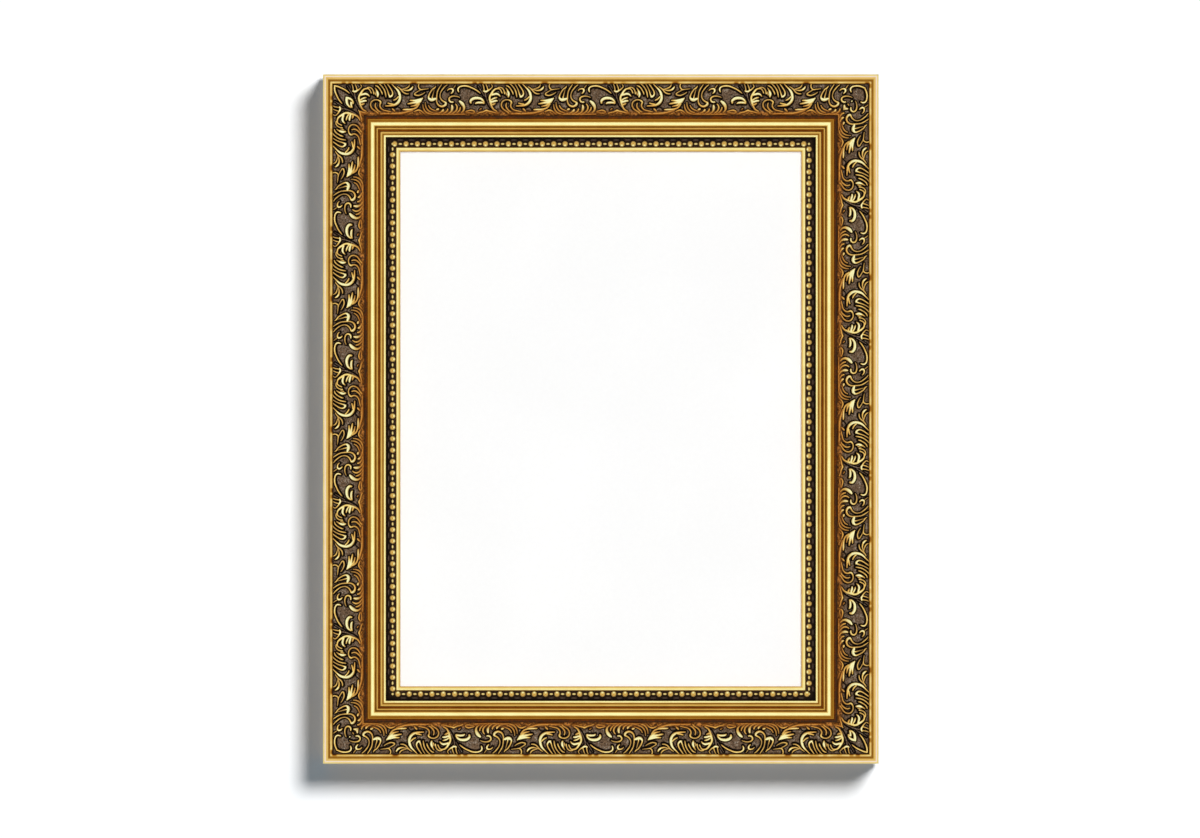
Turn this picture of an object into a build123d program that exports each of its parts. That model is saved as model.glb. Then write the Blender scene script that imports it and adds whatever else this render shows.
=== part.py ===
from build123d import *
import os

# Wall picture frame: four mitred lengths of gilded moulding with pressed ornament and bead strips,
# a glazed picture stack held in the rebate by turn buttons, and two ring hangers on the back.
# Millimetres. X runs to the right as seen from the front, Y towards the wall, Z up.
# The origin is the centre of the whole object.

# Sight opening, the part of the picture that shows
sight_width = 294.0
sight_height = 392.0

# Members of the moulding's face, measured from the outer edge towards the sight edge
rim_width = 3.8
quirk_width = 1.4
cord_width = 2.1
ornament_width = 23.0
cove_width = 2.7
step_width = 2.0
broad_fillet_width = 3.3
reed_width = 3.15
reed_count = 2
inner_fillet_width = 1.7
channel_width = 8.1
sight_fillet_width = 2.1

# Heights of those members above the flat back of the moulding
moulding_depth = 32.0
quirk_height = 30.2
ornament_outer_height = 29.4
ornament_inner_height = 18.6
ornament_crown = 2.9
ornament_thickness = 3.0
cove_height = 17.2
step_height = 19.4
broad_fillet_height = 22.2
reed_height = 19.0
reed_fall = 1.2
reed_crown = 1.1
inner_fillet_height = 18.4
channel_height = 12.8
sight_fillet_height = 14.4
rim_round = 1.2
fillet_round = 0.5

# Rebate and the stack that lies in it
rebate_lip = 5.0
pane_clearance = 1.0
glass_thickness = 2.0
sheet_thickness = 0.5
filler_thickness = 5.0
backing_thickness = 2.5
stack_clearance = 0.2

# Bead strip
strip_thickness = 0.8
strip_gap = 0.2
bead_radius = 1.95
small_bead_radius = 1.05
bead_pitch = 8.33
bead_inset = 4.9
bead_end_gap = 3.0

# Pan head screws
screw_radius = 1.5
screw_length = 9.0
screw_point = 2.0
screw_head_radius = 3.1
screw_head_height = 1.6
screw_head_side = 0.6
screw_recess_width = 0.9
screw_recess_length = 3.4
screw_recess_depth = 0.8
pilot_clearance = 0.05

# Turn buttons
button_thickness = 1.0
button_round = 5.5
button_tip = 3.6
button_reach = 14.0
button_pivot_inset = 8.0
button_clearance = 0.1
button_bore_clearance = 0.08
button_spread_top = 75.0
button_spread_side = 68.0

# Ring hangers
ring_wire_radius = 1.0
ring_half_width = 8.5
ring_corner = 2.0
ring_leg = 2.5
ring_clearance = 0.1
ring_lean = 3.0
strap_sheet = 0.8
strap_leaves = 2
strap_width = 11.0
strap_length = 27.0
strap_screw_inset = 7.0
strap_end_round = 4.0
hanger_from_outer_edge = 24.0
hanger_from_top = 126.0

# Corner fasteners, bent steel strips driven across each mitre
v_nail_leg = 5.5
v_nail_sheet = 0.5
v_nail_depth = 10.0
v_nail_slot_clearance = 0.02
v_nail_insets = (17.0, 40.0)

# Wall bumpers
bumper_radius = 6.0
bumper_height = 5.0
bumper_round = 1.0
bumper_from_side = 16.0
bumper_from_end = 44.0

# Places worked out from the sizes above
cord_start = rim_width + quirk_width
ornament_start = cord_start + cord_width
cove_start = ornament_start + ornament_width
step_start = cove_start + cove_width
broad_fillet_start = step_start + step_width
reed_start = broad_fillet_start + broad_fillet_width
inner_fillet_start = reed_start + reed_count * reed_width
channel_start = inner_fillet_start + inner_fillet_width
sight_fillet_start = channel_start + channel_width
moulding_width = sight_fillet_start + sight_fillet_width

outer_width = sight_width + 2 * moulding_width
outer_height = sight_height + 2 * moulding_width
stack_thickness = glass_thickness + sheet_thickness + filler_thickness + backing_thickness
rebate_depth = stack_thickness + stack_clearance
rebate_start = moulding_width - rebate_lip
pane_width = sight_width + 2 * (rebate_lip - pane_clearance)
pane_height = sight_height + 2 * (rebate_lip - pane_clearance)

overall_depth = moulding_depth + bumper_height
wall_y = overall_depth / 2
back_y = wall_y - bumper_height

button_pivot = rebate_start - button_pivot_inset
ring_bore = ring_wire_radius + ring_clearance
loop_radius = ring_bore + strap_sheet
strap_thickness = strap_leaves * strap_sheet
hanger_x = outer_width / 2 - hanger_from_outer_edge
hanger_z = outer_height / 2 - hanger_from_top
hanger_y = back_y + loop_radius

# Each rail has its own plane: local x runs inwards from the outer edge, local y to the front,
# and local z along the rail from its middle
rail_planes = {
    "top": Plane((0, back_y, outer_height / 2), x_dir=(0, 0, -1), z_dir=(-1, 0, 0)),
    "bottom": Plane((0, back_y, -outer_height / 2), x_dir=(0, 0, 1), z_dir=(1, 0, 0)),
    "left": Plane((-outer_width / 2, back_y, 0), x_dir=(1, 0, 0), z_dir=(0, 0, -1)),
    "right": Plane((outer_width / 2, back_y, 0), x_dir=(-1, 0, 0), z_dir=(0, 0, 1)),
}
rail_lengths = {"top": outer_width, "bottom": outer_width, "left": outer_height, "right": outer_height}
# The rail's end from which its beads are counted, +1 or -1 along local z
bead_ends = {"top": -1, "bottom": -1, "left": 1, "right": 1}
button_spreads = {
    "top": button_spread_top,
    "bottom": button_spread_top,
    "left": button_spread_side,
    "right": button_spread_side,
}

os.makedirs("parts", exist_ok=True)


def save(piece, name):
    piece.label = name
    export_step(piece, f"parts/{name}.step")


def back_plane(side, inwards, along):
    # A plane on the moulding's back, facing the wall, with its local x pointing inwards
    plane = rail_planes[side]
    return Plane(plane.from_local_coords((inwards, 0, along)), x_dir=plane.x_dir, z_dir=(0, 1, 0))


def mitre_plane(side, end):
    # The 45 degree plane at one end of a rail, facing away from that rail
    plane = rail_planes[side]
    corner = plane.from_local_coords((0, 0, end * rail_lengths[side] / 2))
    return Plane(corner, z_dir=plane.x_dir + plane.z_dir * end)


def button_places(side):
    spread = button_spreads[side]
    return [back_plane(side, button_pivot, along) for along in (-spread, spread)]


def hanger_plane(hand):
    # On the wood under the ring's bar, facing the wall, with local x across and local y up
    return Plane((hand * hanger_x, back_y, hanger_z), x_dir=(-1, 0, 0), z_dir=(0, 1, 0))


def strap_screw_place(hand):
    screw_below_bar = strap_length - strap_screw_inset
    return Plane((hand * hanger_x, back_y, hanger_z - screw_below_bar), x_dir=(-1, 0, 0), z_dir=(0, 1, 0))


# V-nails
def v_nail(corner_x, corner_z, inset, clearance):
    # One bent strip, its bend on the mitre line and one leg in each rail
    inner = v_nail_sheet / 2 + clearance
    bend_x = corner_x * (outer_width / 2 - inset)
    bend_z = corner_z * (outer_height / 2 - inset)
    facing = -corner_x * corner_z
    bend = Plane((bend_x, back_y, bend_z), x_dir=(-corner_x, 0, 0), z_dir=(0, facing, 0))
    with BuildPart() as nail:
        with BuildSketch(bend):
            with Locations((-inner, -inner)):
                Rectangle(v_nail_leg + 2 * inner, 2 * inner, align=(Align.MIN, Align.MIN))
                Rectangle(2 * inner, v_nail_leg + 2 * inner, align=(Align.MIN, Align.MIN))
        extrude(amount=-facing * (v_nail_depth + clearance))
    return nail.part


corners = [(x, z) for x in (-1, 1) for z in (-1, 1)]
v_nail_slots = [v_nail(x, z, inset, v_nail_slot_clearance) for x, z in corners for inset in v_nail_insets]

with BuildPart() as v_nails:
    for corner_x, corner_z in corners:
        for nail_inset in v_nail_insets:
            add(v_nail(corner_x, corner_z, nail_inset, 0))
save(v_nails.part, "corner_v_nails")


# Moulding rails
def moulding_section():
    # The front outline, member by member, then the sight edge, the rebate and the back
    with BuildLine() as outline:
        Polyline((0, 0), (0, moulding_depth - rim_round))
        RadiusArc((0, moulding_depth - rim_round), (rim_round, moulding_depth), rim_round)
        Polyline((rim_round, moulding_depth), (rim_width, moulding_depth), (rim_width, quirk_height),
                 (cord_start, quirk_height))
        cord_top = (cord_start + cord_width / 2, quirk_height + cord_width / 2)
        ThreePointArc((cord_start, quirk_height), cord_top, (ornament_start, quirk_height))
        Polyline((ornament_start, quirk_height),
                 (ornament_start, ornament_outer_height - ornament_thickness),
                 (cove_start, ornament_inner_height - ornament_thickness), (cove_start, cove_height),
                 (step_start, cove_height), (step_start, step_height),
                 (broad_fillet_start, step_height), (broad_fillet_start, broad_fillet_height),
                 (reed_start, broad_fillet_height), (reed_start, reed_height))
        foot = Vector(reed_start, reed_height)
        for reed in range(reed_count):
            far_foot = foot + Vector(reed_width, 0)
            ThreePointArc(foot, foot + Vector(reed_width / 2, reed_crown), far_foot)
            if reed < reed_count - 1:
                foot = far_foot - Vector(0, reed_fall)
                Line(far_foot, foot)
        Polyline(far_foot, (inner_fillet_start, inner_fillet_height), (channel_start, inner_fillet_height),
                 (channel_start, channel_height), (sight_fillet_start, channel_height),
                 (sight_fillet_start, sight_fillet_height - fillet_round))
        RadiusArc((sight_fillet_start, sight_fillet_height - fillet_round),
                  (sight_fillet_start + fillet_round, sight_fillet_height), fillet_round)
        Line((sight_fillet_start + fillet_round, sight_fillet_height),
             (moulding_width - fillet_round, sight_fillet_height))
        RadiusArc((moulding_width - fillet_round, sight_fillet_height),
                  (moulding_width, sight_fillet_height - fillet_round), fillet_round)
        Polyline((moulding_width, sight_fillet_height - fillet_round), (moulding_width, rebate_depth),
                 (rebate_start, rebate_depth), (rebate_start, 0), (0, 0))
    return outline.line


def make_rail(side):
    with BuildPart() as rail:
        with BuildSketch(rail_planes[side]):
            with BuildLine():
                add(moulding_section())
            make_face()
        extrude(amount=rail_lengths[side] / 2, both=True)
        for end in (1, -1):
            split(bisect_by=mitre_plane(side, end), keep=Keep.BOTTOM)
        pilot_places = button_places(side)
        if side in ("left", "right"):
            pilot_places.append(strap_screw_place(-1 if side == "left" else 1))
        with Locations(*pilot_places):
            Cylinder(screw_radius + pilot_clearance, screw_length, mode=Mode.SUBTRACT,
                     align=(Align.CENTER, Align.CENTER, Align.MAX))
        add(v_nail_slots, mode=Mode.SUBTRACT)
    return rail.part


for side in rail_planes:
    save(make_rail(side), f"{side}_rail")


# Pressed ornament strips, bedded between the cord and the cove
def make_ornament(side):
    outer_top = Vector(ornament_start, ornament_outer_height)
    inner_top = Vector(cove_start, ornament_inner_height)
    thickness = Vector(0, ornament_thickness)
    with BuildPart() as ornament:
        with BuildSketch(rail_planes[side]):
            with BuildLine():
                ThreePointArc(outer_top, (outer_top + inner_top) / 2 + Vector(0, ornament_crown), inner_top)
                Polyline(inner_top, inner_top - thickness, outer_top - thickness, outer_top)
            make_face()
        extrude(amount=rail_lengths[side] / 2, both=True)
        for end in (1, -1):
            split(bisect_by=mitre_plane(side, end), keep=Keep.BOTTOM)
    return ornament.part


for side in rail_planes:
    save(make_ornament(side), f"{side}_ornament")


# Bead strips, laid on the floor of the channel beside the sight edge
def make_bead_strip(side):
    plane = rail_planes[side]
    bead_line = moulding_width - bead_inset
    strip_top = channel_height + strip_thickness
    run = rail_lengths[side] - 2 * bead_line
    count = int((run - bead_end_gap) / bead_pitch) + 1
    first = bead_ends[side] * (run / 2 - bead_end_gap)
    step = -bead_ends[side] * bead_pitch
    bead_places = [(bead_line, strip_top, first + step * n) for n in range(count)]
    between = [(bead_line, strip_top, first + step * (n + 1 / 2)) for n in range(-1, count)]
    with BuildPart() as strip:
        with BuildSketch(plane):
            with Locations((channel_start + strip_gap, channel_height)):
                Rectangle(channel_width - 2 * strip_gap, strip_thickness, align=(Align.MIN, Align.MIN))
        extrude(amount=rail_lengths[side] / 2, both=True)
        with Locations(*[plane.from_local_coords(place) for place in bead_places]):
            Sphere(bead_radius)
        with Locations(*[plane.from_local_coords(place) for place in between]):
            Sphere(small_bead_radius)
        split(bisect_by=Plane((0, back_y - channel_height, 0), z_dir=(0, -1, 0)), keep=Keep.TOP)
        for end in (1, -1):
            split(bisect_by=mitre_plane(side, end), keep=Keep.BOTTOM)
    return strip.part


for side in rail_planes:
    save(make_bead_strip(side), f"{side}_bead_strip")


# Stack in the rebate, from the lip to the back: glass, picture sheet, filler board, backing board
stack = {
    "glass_pane": glass_thickness,
    "picture_sheet": sheet_thickness,
    "filler_board": filler_thickness,
    "backing_board": backing_thickness,
}
front_face_y = back_y - rebate_depth
for layer_name, thickness in stack.items():
    with BuildPart(Plane((0, front_face_y, 0), x_dir=(1, 0, 0), z_dir=(0, 1, 0))) as layer:
        Box(pane_width, pane_height, thickness, align=(Align.CENTER, Align.CENTER, Align.MIN))
    save(layer.part, layer_name)
    front_face_y += thickness


# Screws
def make_screw(stand_off):
    # Along +Z, with the underside of the head a stand-off above the surface that the point goes into
    tip = stand_off - screw_length
    head_side = stand_off + screw_head_side
    head_top = stand_off + screw_head_height
    with BuildPart() as screw:
        with BuildSketch(Plane.XZ):
            with BuildLine():
                Polyline((0, head_top), (0, tip), (screw_radius, tip + screw_point),
                         (screw_radius, stand_off), (screw_head_radius, stand_off),
                         (screw_head_radius, head_side))
                TangentArc((0, head_top), (screw_head_radius, head_side), tangent=(1, 0))
            make_face()
        revolve(axis=Axis.Z)
        with Locations((0, 0, head_top)):
            for turn in (0, 90):
                Box(screw_recess_length, screw_recess_width, 2 * screw_recess_depth, rotation=(0, 0, turn),
                    mode=Mode.SUBTRACT)
    return screw.part


button_screw = make_screw(button_thickness + 2 * button_clearance)
with BuildPart() as button_screws:
    for side in rail_planes:
        with Locations(*button_places(side)):
            add(button_screw)
save(button_screws.part, "turn_button_screws")

strap_screw = make_screw(strap_thickness)
with BuildPart() as strap_screws:
    with Locations(strap_screw_place(-1), strap_screw_place(1)):
        add(strap_screw)
save(strap_screws.part, "hanger_screws")


# Turn buttons
def make_button(place):
    with BuildPart() as button:
        with BuildSketch(place.offset(button_clearance)):
            Circle(button_round)
            with Locations((button_reach, 0)):
                Circle(button_tip)
            make_hull()
            Circle(screw_radius + button_bore_clearance, mode=Mode.SUBTRACT)
        extrude(amount=button_thickness)
    return button.part


for side in rail_planes:
    for number, place in enumerate(button_places(side), start=1):
        save(make_button(place), f"{side}_turn_button_{number}")


# Ring hangers
def make_strap(hand):
    # The folded strip: two leaves under the screw, and a loop round the ring's bar
    place = hanger_plane(hand)
    section = Plane(place.origin, x_dir=(0, 0, 1), z_dir=(1, 0, 0))
    with BuildPart() as strap:
        with BuildSketch(section):
            Rectangle(strap_length, strap_thickness, align=(Align.MAX, Align.MAX))
            with Locations((0, -loop_radius)):
                Circle(loop_radius)
                Circle(ring_bore, mode=Mode.SUBTRACT)
        extrude(amount=strap_width / 2, both=True)
        lower_end = strap.edges().filter_by(Axis.Y).group_by(Axis.Z)[0]
        fillet(lower_end, radius=min(strap_end_round, strap_width / 2 - strap_sheet / 2))
        with Locations(strap_screw_place(hand)):
            Hole(screw_radius + pilot_clearance)
    return strap.part


def make_ring(hand):
    # A closed D of round wire, its bar in the strap's loop, its bow up and leaning on the wood
    place = hanger_plane(hand).offset(loop_radius).rotated((ring_lean, 0, 0))
    half = ring_half_width
    bar_end = half - ring_corner
    shoulder = ring_corner + ring_leg
    with BuildPart() as ring:
        with BuildLine(place) as path:
            Line((-bar_end, 0), (bar_end, 0))
            RadiusArc((bar_end, 0), (half, ring_corner), -ring_corner)
            Line((half, ring_corner), (half, shoulder))
            ThreePointArc((half, shoulder), (0, shoulder + half), (-half, shoulder))
            Line((-half, shoulder), (-half, ring_corner))
            RadiusArc((-half, ring_corner), (-bar_end, 0), -ring_corner)
        with BuildSketch(Plane(place.origin, x_dir=place.y_dir, z_dir=place.x_dir)):
            Circle(ring_wire_radius)
        sweep(path=path.wire())
    return ring.part


for hand, hand_name in ((-1, "left"), (1, "right")):
    save(make_strap(hand), f"{hand_name}_hanger_strap")
    save(make_ring(hand), f"{hand_name}_hanger_ring")


# Wall bumpers
bumper_x = outer_width / 2 - bumper_from_side
bumper_z = outer_height / 2 - bumper_from_end
with BuildPart(Plane((0, back_y, 0), x_dir=(1, 0, 0), z_dir=(0, 1, 0))) as bumpers:
    with GridLocations(2 * bumper_x, 2 * bumper_z, 2, 2):
        Cylinder(bumper_radius, bumper_height, align=(Align.CENTER, Align.CENTER, Align.MIN))
    fillet(bumpers.edges().group_by(Axis.Y)[-1], radius=bumper_round)
save(bumpers.part, "wall_bumpers")

print("outer size", outer_width, outer_height, "depth", overall_depth, "moulding width", moulding_width)
print("wall y", wall_y, "back y", back_y, "rebate depth", rebate_depth)
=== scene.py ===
import math

import bmesh
import bpy
from mathutils import Matrix, Vector


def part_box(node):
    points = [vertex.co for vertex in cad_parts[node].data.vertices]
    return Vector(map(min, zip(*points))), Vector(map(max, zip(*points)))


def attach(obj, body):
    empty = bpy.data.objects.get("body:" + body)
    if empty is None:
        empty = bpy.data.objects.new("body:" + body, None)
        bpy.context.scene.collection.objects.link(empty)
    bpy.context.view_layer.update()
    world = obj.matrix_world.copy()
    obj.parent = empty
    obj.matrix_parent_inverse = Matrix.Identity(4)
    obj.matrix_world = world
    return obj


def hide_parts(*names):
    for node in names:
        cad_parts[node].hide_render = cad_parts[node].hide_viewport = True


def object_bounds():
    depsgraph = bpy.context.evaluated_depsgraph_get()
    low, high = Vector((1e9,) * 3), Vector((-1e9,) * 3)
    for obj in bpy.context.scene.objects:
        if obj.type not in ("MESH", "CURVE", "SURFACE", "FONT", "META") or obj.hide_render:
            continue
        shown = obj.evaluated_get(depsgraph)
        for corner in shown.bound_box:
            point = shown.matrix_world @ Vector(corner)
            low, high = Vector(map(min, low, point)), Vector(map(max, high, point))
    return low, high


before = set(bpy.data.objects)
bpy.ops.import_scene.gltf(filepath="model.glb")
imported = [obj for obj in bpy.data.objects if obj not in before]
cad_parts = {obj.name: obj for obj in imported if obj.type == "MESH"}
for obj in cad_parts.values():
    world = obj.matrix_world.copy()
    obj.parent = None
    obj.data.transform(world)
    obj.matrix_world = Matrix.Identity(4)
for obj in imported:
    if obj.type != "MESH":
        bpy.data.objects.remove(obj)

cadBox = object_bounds()  # the CAD model's own box
mm = 0.001
weld = 0.000001  # points closer than this, in metres, are one
slack = 0.00001  # room for rounding where faces are chosen by their place

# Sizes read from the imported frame
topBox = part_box("top_rail")
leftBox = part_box("left_rail")
outerWidth = topBox[1].x - topBox[0].x
outerHeight = leftBox[1].z - leftBox[0].z
frontY = topBox[0].y
backY = topBox[1].y
wallY = cadBox[1].y

# Each rail's own frame: along it from its pattern's first end, inwards from the outer edge, and forwards
rails = {
    "top": {"start": (-outerWidth / 2, backY, outerHeight / 2), "along": (1, 0, 0),
            "inwards": (0, 0, -1), "length": outerWidth, "patternStart": 25.1},
    "left": {"start": (-outerWidth / 2, backY, outerHeight / 2), "along": (0, 0, -1),
             "inwards": (1, 0, 0), "length": outerHeight, "patternStart": 27.1},
    "bottom": {"start": (outerWidth / 2, backY, -outerHeight / 2), "along": (-1, 0, 0),
               "inwards": (0, 0, 1), "length": outerWidth, "patternStart": 25.1},
    "right": {"start": (outerWidth / 2, backY, -outerHeight / 2), "along": (0, 0, 1),
              "inwards": (-1, 0, 0), "length": outerHeight, "patternStart": 27.1},
}
forwards = (0, -1, 0)
patternRepeat = 95.84  # millimetres of rail to one repeat of the ornament


def railMatrix(rail):
    matrix = Matrix((rail["along"], rail["inwards"], forwards)).transposed().to_4x4()
    matrix.translation = rail["start"]
    return matrix


# Node building: Wire is a socket that does sums, Graph adds nodes
class Wire:
    def __init__(self, graph, socket):
        self.graph = graph
        self.socket = socket

    def also(self, output):  # another output of the same node
        return Wire(self.graph, self.socket.node.outputs[output])

    def math(self, operation, *others):
        return self.graph.add("ShaderNodeMath", {"operation": operation}, dict(enumerate((self, *others))))

    def __add__(self, other):
        return self.math("ADD", other)

    __radd__ = __add__

    def __sub__(self, other):
        return self.math("SUBTRACT", other)

    def __rsub__(self, other):
        return self.graph.add("ShaderNodeMath", {"operation": "SUBTRACT"}, {0: other, 1: self})

    def __mul__(self, other):
        return self.math("MULTIPLY", other)

    __rmul__ = __mul__

    def __truediv__(self, other):
        return self.math("DIVIDE", other)

    def __rtruediv__(self, other):
        return self.graph.add("ShaderNodeMath", {"operation": "DIVIDE"}, {0: other, 1: self})

    def __pow__(self, other):
        return self.math("POWER", other)

    def __lt__(self, other):
        return self.math("LESS_THAN", other)

    def __gt__(self, other):
        return self.math("GREATER_THAN", other)


class Graph:
    def __init__(self, tree):
        self.tree = tree

    def add(self, kind, settings=None, inputs=None, out=0):
        node = self.tree.nodes.new(kind)
        for name, value in (settings or {}).items():
            if name == "stops":
                setStops(node.color_ramp, value)
            else:
                setattr(node, name, value)
        for name, value in (inputs or {}).items():
            for end in value if isinstance(value, list) else [value]:
                if isinstance(end, Wire):
                    self.tree.links.new(end.socket, node.inputs[name])
                else:
                    node.inputs[name].default_value = end
        return Wire(self, node.outputs[out]) if node.outputs else None

    def given(self, name):  # an input of the whole tree
        return self.add("NodeGroupInput", out=name)

    def attribute(self, name):
        return self.add("ShaderNodeAttribute", {"attribute_name": name}, out="Fac")

    def stored(self, name):  # a value that the geometry carries
        return self.add("GeometryNodeInputNamedAttribute", {"data_type": "FLOAT"}, {"Name": name})

    def store(self, geometry, values):  # named values that the geometry then carries
        for name, value in values.items():
            kept = {"Geometry": geometry, "Name": name, "Value": value}
            geometry = self.add("GeometryNodeStoreNamedAttribute", {}, kept)
        return geometry

    def place(self):  # where a point of the piece is
        return self.add("ShaderNodeTexCoord", out="Object")

    def position(self):
        return self.add("GeometryNodeInputPosition")

    def vector(self, x, y, z):
        return self.add("ShaderNodeCombineXYZ", {}, {"X": x, "Y": y, "Z": z})

    def split(self, vector, out):  # one number of a vector
        return self.add("ShaderNodeSeparateXYZ", {}, {"Vector": vector}, out=out)

    def ease(self, value, low, high, first=0.0, last=1.0):  # smooth step from low to high
        limits = {"Value": value, "From Min": low, "From Max": high, "To Min": first, "To Max": last}
        return self.add("ShaderNodeMapRange", {"interpolation_type": "SMOOTHSTEP"}, limits)

    def blend(self, share, first, second):  # between two colours; three numbers are a screen colour
        ends = [tint(*end) if isinstance(end, tuple) and len(end) == 3 else end for end in (first, second)]
        return self.add("ShaderNodeMix", {"data_type": "RGBA"}, {0: share, 6: ends[0], 7: ends[1]}, out=2)

    def ramp(self, value, tones):  # a screen colour for each value from 0 to 1
        stops = [(place, tint(*colour)) for place, colour in tones]
        return self.add("ShaderNodeValToRGB", {"stops": stops}, {"Fac": value})

    def noise(self, where, scale, detail=2.0, roughness=0.5):
        sizes = {"Vector": where, "Scale": scale, "Detail": detail, "Roughness": roughness}
        return self.add("ShaderNodeTexNoise", {}, sizes, out="Fac")

    def bump(self, height, strength, depth):
        return self.add("ShaderNodeBump", {}, {"Strength": strength, "Distance": depth, "Height": height})

    def surface(self, colour, roughness, normal, others=None):
        inputs = {"Base Color": colour, "Roughness": roughness, "Normal": normal, **(others or {})}
        return self.add("ShaderNodeBsdfPrincipled", {}, inputs)

    def move(self, geometry, position):
        return self.add("GeometryNodeSetPosition", {}, {"Geometry": geometry, "Position": position})

    def grid(self, columns, rows):
        sizes = {"Size X": 1.0, "Size Y": 1.0, "Vertices X": columns, "Vertices Y": rows}
        return self.add("GeometryNodeMeshGrid", {}, sizes)

    def rowOf(self, instance, count, start, step):  # copies in a line along the rail
        line = {"Count": count, "Start Location": start, "Offset": self.vector(step, 0.0, 0.0)}
        points = self.add("GeometryNodeMeshLine", {}, line)
        return self.add("GeometryNodeInstanceOnPoints", {}, {"Points": points, "Instance": instance})

    def welded(self, geometry):
        return self.add("GeometryNodeMergeByDistance", {}, {"Geometry": geometry, "Distance": weld})

    def dressed(self, geometry, material):  # real geometry, in its material
        real = self.add("GeometryNodeRealizeInstances", {}, {"Geometry": geometry})
        return self.add("GeometryNodeSetMaterial", {}, {"Geometry": real, "Material": material})

    def end(self, geometry):
        self.add("NodeGroupOutput", {}, {"Geometry": geometry})
        return self.tree


def setStops(ramp, stops):
    while len(ramp.elements) < len(stops):
        ramp.elements.new(1.0)
    for element, (place, colour) in zip(ramp.elements, stops):
        element.position = place
        element.color = colour


def tint(red, green, blue):  # screen colour, 0 to 255, to the linear colour that shaders take
    def linear(level):
        share = level / 255
        return share / 12.92 if share <= 0.04045 else ((share + 0.055) / 1.055) ** 2.4
    return (linear(red), linear(green), linear(blue), 1.0)


def newMaterial(name, makeShader, *finish):
    material = bpy.data.materials.new(name)
    material.use_nodes = True
    material.node_tree.nodes.clear()
    graph = Graph(material.node_tree)
    graph.add("ShaderNodeOutputMaterial", {}, {"Surface": makeShader(graph, *finish)})
    return material


def newTree(name, sockets):
    tree = bpy.data.node_groups.new(name, "GeometryNodeTree")
    tree.interface.new_socket("Geometry", in_out="OUTPUT", socket_type="NodeSocketGeometry")
    tree.interface.new_socket("Geometry", in_out="INPUT", socket_type="NodeSocketGeometry")
    for socketName, kind in sockets.items():
        tree.interface.new_socket(socketName, in_out="INPUT", socket_type="NodeSocket" + kind)
    return Graph(tree)


def pointMesh(name, points, edges, attributes):  # loose points and edges with named values
    mesh = bpy.data.meshes.new(name)
    mesh.from_pydata(points, edges, [])
    for attributeName, values in attributes.items():
        layer = mesh.attributes.new(attributeName, "FLOAT", "POINT")
        layer.data.foreach_set("value", values)
    return mesh


def growMesh(tree, startMesh, values):  # run a tree on a mesh and keep the plain result
    carrier = bpy.data.objects.new("carrier", startMesh)
    bpy.context.scene.collection.objects.link(carrier)
    modifier = carrier.modifiers.new("grow", "NODES")
    modifier.node_group = tree
    for item in tree.interface.items_tree:
        if item.in_out == "INPUT" and item.name in values:
            modifier[item.identifier] = values[item.name]
    depsgraph = bpy.context.evaluated_depsgraph_get()
    grown = carrier.evaluated_get(depsgraph)
    mesh = bpy.data.meshes.new_from_object(grown, preserve_all_data_layers=True, depsgraph=depsgraph)
    carrier.modifiers.remove(modifier)
    bpy.data.objects.remove(carrier)
    return mesh


def finishPiece(name, mesh, matrix, sharpAngle, node):  # close, place and hand over one rail's piece
    shell = bmesh.new()
    shell.from_mesh(mesh)
    openEdges = [edge for edge in shell.edges if edge.is_boundary]
    bmesh.ops.holes_fill(shell, edges=openEdges, sides=0)
    bmesh.ops.transform(shell, matrix=matrix, verts=shell.verts)
    bmesh.ops.recalc_face_normals(shell, faces=shell.faces)
    for face in shell.faces:
        face.smooth = True
    shell.to_mesh(mesh)
    shell.free()
    mesh.set_sharp_from_angle(angle=math.radians(sharpAngle))
    piece = bpy.data.objects.new(name, mesh)
    bpy.context.scene.collection.objects.link(piece)
    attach(piece, "frame")
    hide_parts(node)
    return piece


# Gilding: tone runs from the dark wash in the hollows to burnished pale gold; the tones given to the
# members also carry painted shade in the deep hollows and painted highlights on flats and crests
gilding = {
    "tones": ((0.0, (12, 7, 4)), (0.1, (56, 40, 27)), (0.2, (112, 54, 8)), (0.3, (144, 77, 14)),
              (0.4, (158, 106, 30)), (0.5, (178, 128, 44)), (0.6, (202, 152, 62)), (0.7, (216, 172, 84)),
              (0.8, (230, 194, 110)), (0.9, (245, 226, 148)), (1.0, (255, 252, 182))),
    "blush": (244, 222, 206),  # a pale pinkish painted reflection: a line along the rim and a faint trace on the scallops
    "paintedSheenSpread": 0.5,
    "cloudScale": 90.0,
    "cloudDepth": 0.10,
    "streakScale": 1.6,
    "streakStretch": 0.035,  # the streaks run along the rail
    "streakDepth": 0.09,
    "gritScale": 900.0,
    "hollowTones": (0.36, 0.16),  # below these the members are rougher
    "hollowMottle": 0.8,
    "hollowGrit": 0.22,
    "patchStretch": (0.11, 0.3),  # along the rail and across it
    "patchDepth": 0.45,
    "cordLeaf": 0.56,  # how much leaf is left on the cord
    # Where it is worn: place, half width, leaf left
    "cordNotches": ((3.5, 2.4, 0.42), (14.0, 1.9, 0.4), (22.3, 4.2, 0.45), (41.4, 3.0, 0.05),
                    (62.5, 3.0, 0.43), (86.0, 2.2, 0.12), (90.6, 2.0, 0.2)),
    "notchFloor": 0.4,  # share of a notch that is worn evenly
    "cordSide": (0.65, 1.25),  # the wear is deepest on the side of the cord towards the ornament
    "wearDepth": 1.3,
    "deepest": 0.12,
    "roughness": 0.34,
    "roughnessSpread": 0.16,
    "darkRoughness": 0.1,
    "metal": (0.25, 0.92),  # in the dark wash and on the leaf
    "metalTones": (0.02, 0.3),
    "paleTones": (0.84, 0.98),  # the palest leaf is less of a mirror
    "paleLoss": 0.35,
    "satinLoss": 0.6,
    "specular": 0.05,
    "bump": 0.00012,
    "bumpStrength": 0.35,
}


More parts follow.
